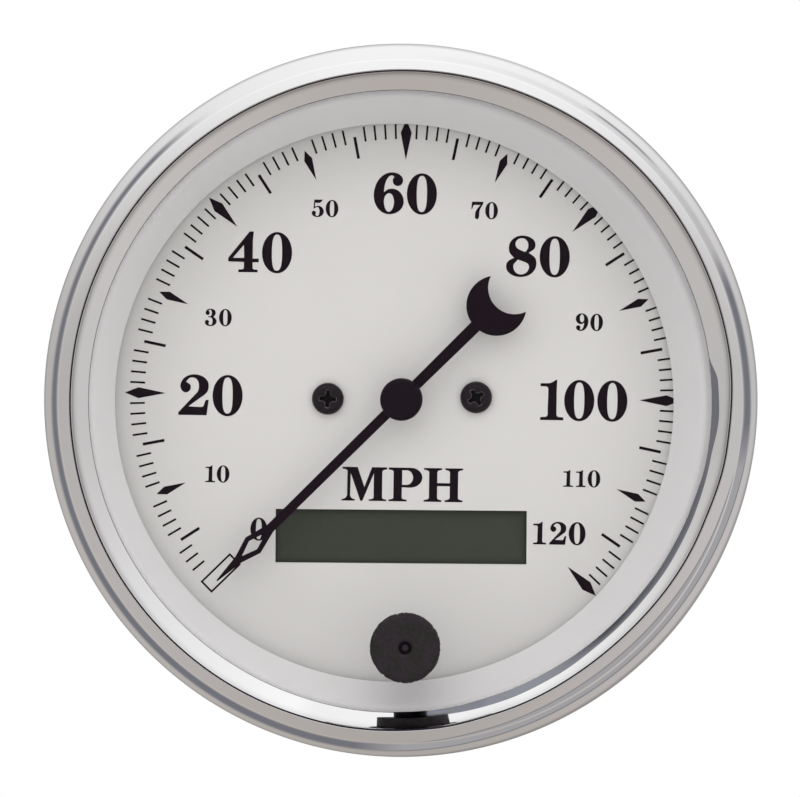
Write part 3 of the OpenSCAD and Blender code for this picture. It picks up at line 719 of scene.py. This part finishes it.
def at_speed(mph):
    """Turns a mark that lies along +x to its place on the scale."""
    turn = Matrix.Rotation(math.radians(ZERO_DEG - DEG_PER_MPH * mph), 2)
    return lambda p: on_dial(turn @ p)


def bar(inner, outer, width):
    return [(inner, -width / 2), (outer, -width / 2), (outer, width / 2), (inner, width / 2)]


def diamond(inner, outer, width, widest):
    return [(inner, 0), (widest, -width / 2), (outer, 0), (widest, width / 2)]


def scale_marks():
    """One mark for each mile per hour after the zero box: diamonds at the tens, wide bars at the fives."""
    minor, fives, tens = [], [], []
    for mph in range(FIRST_MPH, TOP_MPH + 1):
        place = at_speed(mph)
        if mph % 20 == 0:
            tens.append((diamond(*BIG_DIAMOND), ROUND, place))
        elif mph % 10 == 0:
            tens.append((diamond(*SMALL_DIAMOND), ROUND, place))
        elif mph % 5 == 0:
            fives.append((bar(*FIVE_MARK), ROUND, place))
        else:
            minor.append((bar(*MINOR_MARK), ROUND, place))
    inner, outer, width = ZERO_BOX
    line = ZERO_BOX_LINE
    hole = bar(inner + line, outer - line, width - 2 * line)
    printed("scale_minor", minor)
    printed("scale_fives", fives)
    printed("scale_tens", tens)
    printed("zero_box", [(bar(inner, outer, width), ROUND, at_speed(0)), (hole, ROUND, at_speed(0))])


# Turned pieces

# Radius of the small ring of points round an axis
AXIS_R = 0.01


def polar(middle, radius, angle, z):
    """Point at a radius and an angle round a middle point of the front drawing, in the part's frame."""
    return put(middle[0] + radius * math.cos(angle), middle[1] + radius * math.sin(angle), z)


def ring_faces(rings, count, first=0, closed=False):
    """Faces between neighbouring rings of so many points each, from the point numbered first."""
    faces = []
    for ring in range(rings if closed else rings - 1):
        near, far = first + ring * count, first + (ring + 1) % rings * count
        for i in range(count):
            j = (i + 1) % count
            faces.append((near + i, far + i, far + j, near + j))
    return faces


def revolve(name, section, steps, middle=(0, 0)):
    """Turns a closed section about an axis at middle. section(angle) gives its points as (radius, z)."""
    points = []
    for i in range(steps):
        angle = 2 * math.pi * i / steps
        points += [polar(middle, radius, angle, z) for radius, z in section(angle)]
    return mesh_of(name, points, ring_faces(steps, len(points) // steps, closed=True))


def arc(middle, radius, start_deg, end_deg, steps):
    """Points of an arc of a profile."""
    cx, cz = middle
    turns = [math.radians(start_deg + (end_deg - start_deg) * i / steps) for i in range(steps + 1)]
    return [(cx + radius * math.cos(t), cz + radius * math.sin(t)) for t in turns]


# Shares of a slope at which it has rings of points, one of them close to its end
SLOPE_RINGS = (0.5, 0.97, 1)

# Section of the bezel: its sheet, bends, roll, step, funnel and lip
SHEET = 0.8
CRIMP_R = 1.0
CRIMP_IN_R = 43.3
SIDE_R = 6.1
CREST_EDGE = 0.3
STEP_H = 0.3
FUNNEL_W = 2.3
FUNNEL_SLOPE = 0.826
STEEP_SLOPE = 1.025
STEEP_DEG = -88
STEEP_HALF_DEG = (12, 30)
OPENING_R = 41.0
ROLL_HALF_DEG = 45
CREST_TILT_DEG = 4.5
GROOVE_DEG = 103
# How much light the funnel loses at places so far in from its step, and the share of that at the bottom
FUNNEL_SHADE = ((0.12, 0.55), (0.3, 0.3), (0.5, 0.12), (0.8, 0.0))
SHADE_BOTTOM = 0.35
SHADE_UP = (-0.75, -0.25)
# Share of the lip at which it has a ring of points, and the share of the lip's loss of light there
LIP_RING = 0.4
LIP_RING_LOSS = 0.7

# The bezel is bent on its right side. By angle from the right: the width of the funnel's lip, dark with
# painted shade and painted reflection, which is a thin line elsewhere, how far the opening and the step lie
# out of their circles, and how much light the lip loses to painted shade
LIP_WIDTHS = [
    (-89, 0.10), (-86, 0.70), (-70, 1.05), (-60, 1.00), (-50, 0.80), (-30, 0.80), (-20, 0.72), (-10, 0.53),
    (-2, 1.00), (4, 0.92), (9, 0.10),
]
OPENING_SHIFTS = [
    (-100, 0), (-84, -0.13), (-70, -0.42), (-60, -0.53), (-40, -0.53), (-30, -0.40), (-20, -0.26), (-10, 0),
]
STEP_SHIFTS = [
    (-125, 0), (-102, -0.07), (-84, -0.28), (-72, -0.58), (-50, -0.86), (-22, -0.44), (-8, 0), (10, 0.40),
    (42, 0.55), (75, 0.30), (130, 0),
]
LIP_LOSSES = [(-62, 0), (-46, 0.8), (-38, 0.6), (-30, 0.4), (-18, 0.35), (-8, 0)]


def by_angle(table, angle):
    """Value of a table at an angle, with smooth steps, and its first value outside the table."""
    deg = (math.degrees(angle) + 180) % 360 - 180
    for (start, before), (end, after) in zip(table, table[1:]):
        if start <= deg <= end:
            share = (1 - math.cos(math.pi * (deg - start) / (end - start))) / 2
            return before + (after - before) * share
    return table[0][1]


def steep_share(angle):
    """1 near the trip button, where the funnel falls more steeply, and 0 away from it."""
    away = abs((math.degrees(angle) - STEEP_DEG + 180) % 360 - 180)
    near, far = STEEP_HALF_DEG
    return smooth((far - away) / (far - near))


def between(first, last, *shares):
    """Points on the straight line between two points of a section."""
    return [tuple(a + (b - a) * share for a, b in zip(first, last)) for share in shares]


def bezel_groups(radius, height, lens_front, angle):
    """Section of the bezel as (finish, points, light lost), from its back edge round to the inside."""
    lip_w = by_angle(LIP_WIDTHS, angle)
    half = math.radians(ROLL_HALF_DEG)
    opening = OPENING_R + by_angle(OPENING_SHIFTS, angle)
    step_r = OPENING_R + FUNNEL_W + by_angle(STEP_SHIFTS, angle)
    funnel_w = step_r - opening
    crest_r = step_r + CREST_EDGE
    tilt = math.radians(CREST_TILT_DEG)
    crown_r = (radius - crest_r - SIDE_R * (1 - math.sin(half))) / (math.sin(half) - math.sin(tilt))
    crown = (crest_r - crown_r * math.sin(tilt), height - crown_r * math.cos(tilt))
    side = (radius - SIDE_R, crown[1] + (crown_r - SIDE_R) * math.sin(half))
    bend = (radius - CRIMP_R, CRIMP_R)
    slope = FUNNEL_SLOPE + (STEEP_SLOPE - FUNNEL_SLOPE) * steep_share(angle)
    top = (step_r, height - STEP_H)
    foot = (opening, top[1] - funnel_w * slope)
    under = SHEET * math.hypot(1, slope)
    lip = (opening + lip_w, foot[1] + lip_w * slope)
    low, high = SHADE_UP
    lit = min(1.0, max(0.0, (high - math.sin(angle)) / (high - low)))
    loss = 1 - (1 - SHADE_BOTTOM) * lit
    dark = [((step_r - inset, top[1] - inset * slope), lost * loss) for inset, lost in FUNNEL_SHADE]
    lip_loss = by_angle(LIP_LOSSES, angle)
    inner = opening + SHEET
    return [
        ("chrome", [(CRIMP_IN_R, 0), *arc(bend, CRIMP_R, -90, 0, 6)]),
        ("chrome", arc(side, SIDE_R, 0, ROLL_HALF_DEG, 16)),
        ("chrome", arc(crown, crown_r, ROLL_HALF_DEG, 90 - CREST_TILT_DEG, 14)[1:]),
        ("chrome", arc((crest_r, height - CREST_EDGE), CREST_EDGE, 90, GROOVE_DEG, 3)[1:]),
        # Painted shade in the groove
        ("groove_black", arc((crest_r, height - CREST_EDGE), CREST_EDGE, GROOVE_DEG, 180, 4)[1:]),
        # Painted shade on the funnel next to the groove
        *(("chrome", [point], lost) for point, lost in dark),
        ("chrome", between(dark[-1][0], lip, *SLOPE_RINGS)),
        # Painted shade and painted reflection on the lip
        ("dull_chrome", between(lip, foot, LIP_RING), LIP_RING_LOSS * lip_loss),
        ("dull_chrome", [foot], lip_loss),
        ("chrome", [(opening, lens_front), (inner, lens_front), (inner, foot[1] + SHEET * slope - under)]),
        ("chrome", [(step_r, top[1] - under), (step_r, height - SHEET)]),
        ("chrome", arc(crown, crown_r - SHEET, 90 - CREST_TILT_DEG, ROLL_HALF_DEG, 8)),
        ("chrome", arc(side, SIDE_R - SHEET, ROLL_HALF_DEG, 0, 8)[1:]),
        ("chrome", [*arc(bend, CRIMP_R - SHEET, 0, -90, 3), (CRIMP_IN_R, SHEET)]),
    ]


BEZEL_FINISHES = ("chrome", "dull_chrome", "groove_black")


def rolled_bezel():
    """Chromed ring, turned more finely than the frame's own, with painted shade in its groove, next to it
    and on its lip.
    """
    lo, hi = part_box("bezel")
    sizes = (hi.x / MM, -lo.y / MM, -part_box("lens")[0].y / MM)
    losses = []

    def section(angle):
        groups = bezel_groups(*sizes, angle)
        losses.extend(sum(lost) for _, points, *lost in groups for _ in points)
        return [point for _, points, *_ in groups for point in points]

    mesh = revolve("bezel_roll", section, steps=720)
    finishes = [name for name, points, *_ in bezel_groups(*sizes, 0) for _ in points]
    # Painted shade: how much light each point loses, which the chrome's colour takes away
    shade = mesh.attributes.new("shade", "FLOAT", "POINT")
    for value, lost in zip(shade.data, losses):
        value.value = lost
    obj = piece(mesh, "bezel_roll", "chrome", sharp_deg=35)
    wear(obj, *(FINISH[name] for name in BEZEL_FINISHES))
    for face in mesh.polygons:
        end = (face.index + 1) % len(finishes)
        face.material_index = BEZEL_FINISHES.index(finishes[end])
    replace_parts(obj, "bezel")


RING_IN_R = 36.9
RING_EDGE_SHIFT = 0.43
RING_WALL = 0.5
RING_FLANGE_T = 0.6
# The soft edge starts at a share of the slope and ends so far out on the flat
RING_ROUND = (0.16, 0.7)
RING_ROUND_STEPS = 8


def off_centre(radius, shift, angle):
    """How far a circle round a shifted middle reaches from the axis, in one direction."""
    ahead = shift.dot(Vector((math.cos(angle), math.sin(angle))))
    return ahead + math.sqrt(radius ** 2 - shift.length_squared + ahead ** 2)


def ring_face():
    """Satin ring with a wide slope and a soft edge. Its foot sits off the middle, and its edge less so."""
    lo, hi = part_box("reflector_ring")
    shift = Vector((lo.x + hi.x, lo.z + hi.z)) / 2 / MM
    rim_r = (hi.x - lo.x) / 2 / MM
    foot, top = -hi.y / MM, -lo.y / MM

    def section(angle):
        inner = (off_centre(RING_IN_R, shift, angle), foot)
        edge = (off_centre(RING_EDGE_R, shift * RING_EDGE_SHIFT, angle), top)
        rim = off_centre(rim_r, shift, angle)
        out = (edge[0] + RING_ROUND[1], top)
        down = between(edge, inner, RING_ROUND[0])[0]
        bend = []
        for step in range(RING_ROUND_STEPS + 1):
            share = step / RING_ROUND_STEPS
            bend.append(between(between(out, edge, share)[0], between(edge, down, share)[0], share)[0])
        back = [(inner[0] + RING_WALL, foot), (edge[0] + RING_WALL, top - RING_FLANGE_T)]
        slope = between(down, inner, *SLOPE_RINGS)
        return [(rim, top - RING_FLANGE_T), (rim, top), *bend, *slope, *back]

    mesh = revolve("ring_face", section, steps=360)
    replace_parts(piece(mesh, "ring_face", "satin_silver"), "reflector_ring")


# Trip button: its rounded edges, the hole, socket and bore in it, its foot, and the pip in the hole
KNOB_EDGE = 0.75
KNOB_FLAT_RINGS = (0.7, 0.5, 0.35)
KNOB_HOLE = 0.82
KNOB_HOLE_EDGE = 0.45
KNOB_SOCKET = 1.47
SOCKET_END = 0.7
KNOB_BORE = 1.82
BORE_H = 1.0
KNOB_FOOT_R = 3.5
KNOB_FOOT_LIFT = 0.35
KNOB_H = 1.9
KNOB_UNDER_EDGE = 0.9
PIP_R = 0.48
PIP_H = 0.5
PIP_EDGE = 0.25
# Its uneven edge: where that starts, how close its waves are, and how deep the coarse and fine ones are
ROUGH_FROM = 0.76
ROUGH_RATE = 11
ROUGH_HEIGHT = 12
ROUGH_COARSE = 0.19
ROUGH_FINE = 0.12
ROUGH_FINE_RATE = 2.3


def trip_cap():
    """Moulded rubber button on a foot, with a rough edge and an open middle."""
    lo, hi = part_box("trip_knob")
    middle = ((lo.x + hi.x) / 2 / MM, (lo.z + hi.z) / 2 / MM)
    radius = (hi.x - lo.x) / 2 / MM
    foot, top = -hi.y / MM, -lo.y / MM
    under = top - KNOB_H
    end = top - SOCKET_END
    lifted = foot + KNOB_FOOT_LIFT
    profile = [(KNOB_BORE, lifted), (KNOB_FOOT_R, lifted), (KNOB_FOOT_R, under)]
    profile += arc((radius - KNOB_UNDER_EDGE, under + KNOB_UNDER_EDGE), KNOB_UNDER_EDGE, -90, 0, 8)
    profile += arc((radius - KNOB_EDGE, top - KNOB_EDGE), KNOB_EDGE, 0, 90, 8)
    profile += [(radius * share, top) for share in KNOB_FLAT_RINGS]
    profile += arc((KNOB_HOLE + KNOB_HOLE_EDGE, top - KNOB_HOLE_EDGE), KNOB_HOLE_EDGE, 90, 180, 4)
    profile += [(KNOB_HOLE, end), (KNOB_SOCKET, end)]
    profile += [(r, foot + BORE_H) for r in (KNOB_SOCKET, KNOB_BORE)]

    def rough(r, z, angle):
        """Uneven edge of a moulding, only inwards."""
        if r < radius * ROUGH_FROM:
            return r
        spot = Vector((math.cos(angle), math.sin(angle), z / ROUGH_HEIGHT)) * ROUGH_RATE
        coarse, fine = (abs(noise.noise(place)) for place in (spot, spot * ROUGH_FINE_RATE))
        return r - ROUGH_COARSE * coarse - ROUGH_FINE * fine

    def section(angle):
        return [(rough(r, z, angle), z) for r, z in profile]

    mesh = revolve("trip_cap", section, steps=288, middle=middle)
    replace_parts(piece(mesh, "trip_cap", "black_rubber", body="trip_button"), "trip_knob")
    edge = arc((PIP_R - PIP_EDGE, end + PIP_H - PIP_EDGE), PIP_EDGE, 0, 90, 5)
    pip = [(AXIS_R, end), (PIP_R, end), *edge, (AXIS_R, end + PIP_H)]
    mesh = revolve("stem_pip", lambda angle: pip, steps=48, middle=middle)
    piece(mesh, "stem_pip", "black_rubber", body="trip_button")


def return_spring():
    """Spring of the trip button as a piece of its own. The real button presses it together; here it rides on
    the gauge and keeps its shape.
    """
    obj = piece(frame["nodes"]["trip_spring"].data.copy(), "return_spring", "steel")
    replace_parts(obj, "trip_spring")
    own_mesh(obj)


# How far the left and the right screw are turned, in degrees
SCREW_TURNS = (-3, 32)
# The worn edge carries a painted highlight, and the recess's dark floor is painted shade
# Finishes of a dial screw, and the share of the recess's depth at which each starts
SCREW_FINISHES = (("black_screw", 0.0), ("screw_wear_and_highlight", 0.06), ("screw_recess_shade", 0.34))
SCREW_EDGE = 0.75
SCREW_SHANK_R = 0.9
SCREW_STEPS = 144
SCREW_RINGS = 56
RECESS_L = 1.14
RECESS_W = (0.31, 0.27)
RECESS_DEPTH = 0.6
RECESS_EDGE = 0.22
RECESS_OUT = RECESS_EDGE / 3
RECESS_FILLET = 0.5


def recess_share(spot):
    """1 in the cross of a screw's recess and 0 beside it, with a slope between."""

    def arm(along, side):
        """How far inside one arm of the cross a spot lies."""
        half = RECESS_W[0] + (RECESS_W[1] - RECESS_W[0]) * min(1.0, along / RECESS_L)
        return min(half - side, RECESS_L - along)

    x, y = abs(spot.x), abs(spot.y)
    first, second = arm(x, y), arm(y, x)
    fillet = max(0.0, 1 - abs(first - second) / RECESS_FILLET)
    inset = max(first, second) + fillet * fillet * RECESS_FILLET / 4 + RECESS_OUT
    return smooth(inset / RECESS_EDGE)


def screw(name, middle, radius, top, seat, tip, spin):
    """Round-headed screw with a sloped cross recess."""
    angles = [2 * math.pi * i / SCREW_STEPS for i in range(SCREW_STEPS)]
    points = [put(*middle, top - RECESS_DEPTH)]
    for ring in range(1, SCREW_RINGS + 1):
        r = radius * ring / SCREW_RINGS
        past = max(0.0, r - radius + SCREW_EDGE)
        dome = top - SCREW_EDGE + math.sqrt(max(0.0, SCREW_EDGE ** 2 - past ** 2))
        for angle in angles:
            spot = spin @ Vector((r * math.cos(angle), r * math.sin(angle)))
            points.append(polar(middle, r, angle, dome - RECESS_DEPTH * recess_share(spot)))
    below = ((radius, seat), (SCREW_SHANK_R, seat), (SCREW_SHANK_R, tip))
    for r, z in below:
        points += [polar(middle, r, angle, z) for angle in angles]
    faces = [(0, 1 + i, 1 + (i + 1) % SCREW_STEPS) for i in range(SCREW_STEPS)]
    faces += ring_faces(SCREW_RINGS + len(below), SCREW_STEPS, first=1)
    faces.append(tuple(reversed(range(len(points) - SCREW_STEPS, len(points)))))
    return mesh_of(name, points, faces)


def dial_screws():
    """The two screws of the dial, whose sloped recesses are darker than their heads by painted shade, with a
    painted highlight on their edges.
    """
    points = [v.co / MM for v in frame["nodes"]["dial_screws"].data.vertices]
    for side, label, turn in zip((-1, 1), ("left", "right"), SCREW_TURNS):
        mine = [p for p in points if p.x * side > 0]
        lo, hi = (Vector(pick(p[i] for p in mine) for i in range(3)) for pick in (min, max))
        middle = ((lo.x + hi.x) / 2, (lo.z + hi.z) / 2)
        radius = (hi.x - lo.x) / 2
        spin = Matrix.Rotation(-math.radians(turn), 2)
        name = "dial_screw_" + label
        mesh = screw(name, middle, radius, -lo.y, DIAL_FRONT, -hi.y, spin)
        obj = piece(mesh, name, "black_screw", sharp_deg=60)
        wear(obj, *(FINISH[name] for name, _ in SCREW_FINISHES))
        for face in mesh.polygons:
            x, depth, z = face.center / MM
            share = recess_share(spin @ Vector((x - middle[0], z - middle[1])))
            if -depth > DIAL_FRONT:
                face.material_index = sum(share > start for _, start in SCREW_FINISHES[1:])
        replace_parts(obj, "dial_screws")


THREAD_PITCH = 0.794
THREAD_DEPTH = 0.42
THREAD_ROWS = 10
FLANK_SLOPE = 1.35
STUD_R = 2.4
STUD_CHAMFER = 0.6
STUD_COLLAR_R = 2.9
STUD_HEAD_T = 1.2
STUD_STEPS = 36


def stud(name, x, head_r, root, tip, case_back, case_floor):
    """Clinch stud: head and collar as turned, then a rolled thread to the tip."""
    turned = [(head_r, root), (head_r, case_floor), (STUD_COLLAR_R, case_floor), (STUD_COLLAR_R, case_back)]
    rows = int((case_back - tip) / THREAD_PITCH * THREAD_ROWS)

    def thread(row, share):
        """Radius and height of the thread in one row, at a share of a turn."""
        z = case_back - (case_back - tip) * row / rows
        phase = (z / THREAD_PITCH + share) % 1
        flank = min(1.0, FLANK_SLOPE * abs(2 * phase - 1))
        return min(STUD_R - THREAD_DEPTH * (1 - flank), STUD_R - STUD_CHAMFER + (z - tip)), z

    points = []
    for row in range(-len(turned), rows + 1):
        for i in range(STUD_STEPS):
            share = i / STUD_STEPS
            r, z = turned[row] if row < 0 else thread(row, share)
            points.append(polar((x, 0), r, 2 * math.pi * share, z))
    faces = ring_faces(len(turned) + rows + 1, STUD_STEPS)
    faces.append(tuple(range(STUD_STEPS)))
    faces.append(tuple(reversed(range(len(points) - STUD_STEPS, len(points)))))
    return mesh_of(name, points, faces)


def stud_rods():
    """The two studs on the back."""
    lo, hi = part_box("bracket_studs")
    head_r = (hi.z - lo.z) / 2 / MM
    root, tip = -lo.y / MM, -hi.y / MM
    case_back = -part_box("case")[1].y / MM
    case_floor = root - STUD_HEAD_T
    x = hi.x / MM - head_r
    for side, label in ((-1, "left"), (1, "right")):
        mesh = stud("stud_" + label, side * x, head_r, root, tip, case_back, case_floor)
        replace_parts(piece(mesh, "stud_" + label, "steel", sharp_deg=30), "bracket_studs")


# Studio

# Light that polished surfaces see from each side, the dark band just behind the gauge's own plane, the
# grey card at the lower right with its dark outline, the short streak at the upper right, and where these
# start and end as angles from the front
ENV_TOP = (0.99, 0.99, 0.995)
ENV_BOTTOM = (0.45, 0.415, 0.39)
ENV_RIGHT = (0.56, 0.545, 0.54)
ENV_LEFT = (0.49, 0.475, 0.465)
ENV_BAND = (0.185, 0.185, 0.212)
SIDE_POWER = 1.8
ENV_CARD = (0.385, 0.378, 0.39)
ENV_LINE = (0.21, 0.20, 0.215)
ENV_STREAK = (0.34, 0.34, 0.365)
ENV_CAMERA = (0.12, 0.12, 0.12)
BAND_DEG = (89.5, 114.5)
BAND_TAIL = 0.36
BAND_RIGHT_DEG = 3.5
BAND_UP_DEG = -8
CARD_DEG = (53, 102)
CARD_PLACE_DEG = -52
CARD_SPREAD = (0.70, 1.0)
CARD_EDGE = 0.3
STREAK_DEG = (103, 111)
STREAK_PLACE_DEG = 50
STREAK_HALF_DEG = (3, 9)
CAMERA_DEG = (4, 7)
BEHIND_DEG = (138, 170)
BEHIND_CARD_DEG = (127, 149)
BEHIND_SHARE = 0.6
PLAIN_DEG = (75, 84)
PLAIN_SHARE = 1.08
OPEN_SKEW = 0.22
OPEN_TOP = (0.48, 0.70)
LINE_DEG = 4
BAND_SOFT_DEG = 8
LINE_SOFT_DEG = 2
FILL_LEVEL = 0.95
# Least distance from the gauge's axis to divide by
LEAST_ACROSS = 1e-4


def band_mask(tree, angle, start, end, soft):
    """1 between two angles, with soft edges."""
    into = tree.span(tree.math("SUBTRACT", angle, start), -soft, soft, kind="SMOOTHSTEP")
    past = tree.span(tree.math("SUBTRACT", angle, end), -soft, soft, 1.0, 0.0, kind="SMOOTHSTEP")
    return tree.times(into, past)


def environment(tree):
    """What polished surfaces see: white above, beige below, and darker things beside the gauge."""
    direction = tree.add("ShaderNodeSeparateXYZ", {0: tree.add("ShaderNodeTexCoord").outputs["Generated"]})
    x, y, z = direction.outputs
    across = tree.math("ADD", tree.times(x, x), tree.times(z, z))
    beside = tree.math("SQRT", tree.math("MAXIMUM", across, LEAST_ACROSS))
    right = tree.math("DIVIDE", x, beside)
    up = tree.math("DIVIDE", z, beside)

    sides = ((up, 1.0, ENV_TOP), (up, -1.0, ENV_BOTTOM), (right, 1.0, ENV_RIGHT), (right, -1.0, ENV_LEFT))
    level = (0.0, 0.0, 0.0)
    for value, sign, color in sides:
        share = tree.math("POWER", tree.math("MAXIMUM", tree.times(value, sign), 0.0), SIDE_POWER)
        lit = toned(tree, share, color)
        sum_of = tree.add("ShaderNodeMix", {6: level, 7: lit, 0: 1.0}, data_type="RGBA", blend_type="ADD")
        level = sum_of.outputs[2]

    angle = tree.times(tree.math("ARCCOSINE", tree.times(y, -1.0)), 180 / math.pi)

    def towards(place_deg):
        """1 in a direction round the gauge's axis, and less away from it."""
        place = math.radians(place_deg)
        return tree.math("ADD", tree.times(right, math.cos(place)), tree.times(up, math.sin(place)))

    card = tree.span(towards(CARD_PLACE_DEG), *CARD_SPREAD)
    on_card = tree.span(card, 0.0, CARD_EDGE)
    band_end = tree.math("ADD", BAND_DEG[1], tree.times(right, BAND_RIGHT_DEG))
    band_end = tree.math("ADD", band_end, tree.times(up, BAND_UP_DEG))
    start = tree.span(card, 0.0, 1.0, BAND_DEG[0], CARD_DEG[0])
    end = tree.span(card, 0.0, 1.0, band_end, CARD_DEG[1])
    skewed = tree.math("ADD", up, tree.times(right, OPEN_SKEW))
    open_top = tree.span(skewed, *OPEN_TOP, 1.0, 0.0, kind="SMOOTHSTEP")
    open_top = tree.math("MAXIMUM", open_top, tree.times(right, BAND_TAIL))
    inside = tree.times(band_mask(tree, angle, start, end, BAND_SOFT_DEG), open_top)
    shown = tree.mix(inside, level, tree.mix(on_card, ENV_BAND, ENV_CARD))
    for edge in (start, end):
        low = tree.math("SUBTRACT", edge, LINE_DEG / 2)
        high = tree.math("ADD", edge, LINE_DEG / 2)
        line = tree.times(band_mask(tree, angle, low, high, LINE_SOFT_DEG), on_card)
        shown = tree.mix(line, shown, ENV_LINE)
    near, far = (math.cos(math.radians(half)) for half in STREAK_HALF_DEG)
    beside_streak = tree.span(towards(STREAK_PLACE_DEG), far, near, kind="SMOOTHSTEP")
    streak = tree.times(band_mask(tree, angle, *STREAK_DEG, LINE_SOFT_DEG), beside_streak)
    shown = tree.mix(streak, shown, ENV_STREAK)
    plain = tree.add("ShaderNodeVectorMath", {0: level, "Scale": PLAIN_SHARE}, operation="SCALE").outputs[0]
    shown = tree.mix(band_mask(tree, angle, *PLAIN_DEG, LINE_SOFT_DEG), shown, plain)
    behind = toned(tree, BEHIND_SHARE, level)
    low, high = (tree.span(card, 0.0, 1.0, *ends) for ends in zip(BEHIND_DEG, BEHIND_CARD_DEG))
    shown = tree.mix(tree.span(angle, low, high, kind="SMOOTHSTEP"), shown, behind)
    return tree.mix(tree.span(angle, *CAMERA_DEG, 1.0, 0.0, kind="SMOOTHSTEP"), shown, ENV_CAMERA)


def world():
    """Even white light, which polished surfaces see as the environment and the camera as plain white."""
    made = bpy.data.worlds.new("studio")
    bpy.context.scene.world = made
    tree = Tree(made)
    path = tree.add("ShaderNodeLightPath")
    seen = tree.math("MAXIMUM", path.outputs["Is Camera Ray"], path.outputs["Is Transmission Ray"])
    color = tree.mix(path.outputs["Is Glossy Ray"], (FILL_LEVEL,) * 3, environment(tree))
    color = tree.mix(seen, color, (1.0, 1.0, 1.0))
    background = tree.add("ShaderNodeBackground", {"Color": color, "Strength": 1.0})
    tree.add("ShaderNodeOutputWorld", {"Surface": background.outputs[0]})


KEY_PLACE = (-20, 470, 400)
KEY_SIZE = 900
KEY_POWER_W = 1.0


def key_lamp():
    """Round soft lamp above the front, which polished surfaces don't show."""
    data = bpy.data.lights.new("key", "AREA")
    data.shape = "DISK"
    data.size = KEY_SIZE * MM
    data.energy = KEY_POWER_W
    obj = placed("key", data)
    obj.location = put(*KEY_PLACE)
    obj.rotation_mode = "QUATERNION"
    obj.rotation_quaternion = (-put(*KEY_PLACE)).to_track_quat("-Z", "Y")
    obj.visible_glossy = False


FLOOR_Z = -75
FLOOR_R = 560
FLOOR_BACK = 330
FLOOR_FADE = 0.55
FLOOR_RINGS = (0.3, 0.6, 1)
FLOOR_STEPS = 96


def floor():
    """Pale round floor that fades into the white surround."""
    radii = [AXIS_R, *(FLOOR_R * share for share in FLOOR_RINGS)]
    points = []
    for radius in radii:
        for i in range(FLOOR_STEPS):
            turn = 2 * math.pi * i / FLOOR_STEPS
            x, y = radius * math.cos(turn), radius * math.sin(turn) - FLOOR_BACK
            points.append(Vector((x, y, FLOOR_Z)) * MM)
    tree = material("pale_floor")
    centre = (0, -FLOOR_BACK * MM, FLOOR_Z * MM)
    away = tree.add("ShaderNodeVectorMath", {0: tree.place(), 1: centre}, operation="DISTANCE")
    fade = tree.span(away.outputs["Value"], FLOOR_R * FLOOR_FADE * MM, FLOOR_R * MM, kind="SMOOTHSTEP")
    paper = tree.principled({
        "Base Color": varied(tree, (0.86, 0.86, 0.85), 0.01, 40.0),
        "Roughness": 0.8,
        "Normal": tree.bump(tree.grain(1.2), 0.02),
    })
    clear = tree.add("ShaderNodeBsdfTransparent").outputs[0]
    obj = placed("floor", mesh_of("floor", points, ring_faces(len(radii), FLOOR_STEPS)))
    wear(obj, tree.close(tree.blend(fade, paper, clear)))
    obj.visible_glossy = False


def camera():
    right, above = math.radians(CAMERA_RIGHT_DEG), math.radians(CAMERA_UP_DEG)
    back = Vector((
        math.sin(right) * math.cos(above), -math.cos(right) * math.cos(above), math.sin(above),
    ))
    data = bpy.data.cameras.new("camera")
    data.angle = 2 * math.atan(FRAME_W / 2 / CAMERA_DISTANCE)
    data.clip_start, data.clip_end = CAMERA_CLIP_M
    obj = placed("camera", data)
    obj.location = put(*AIM) + back * CAMERA_DISTANCE * MM
    obj.rotation_mode = "QUATERNION"
    roll = Quaternion((0, 0, 1), math.radians(CAMERA_ROLL_DEG))
    obj.rotation_quaternion = (-back).to_track_quat("-Z", "Y") @ roll
    bpy.context.scene.camera = obj


def studio():
    bpy.context.scene.view_settings.view_transform = "Standard"
    world()
    key_lamp()
    floor()
    camera()


studio()
dress_nodes()
scale_marks()
for row in WORDS:
    word(*row)
rolled_bezel()
ring_face()
trip_cap()
return_spring()
dial_screws()
stud_rods()
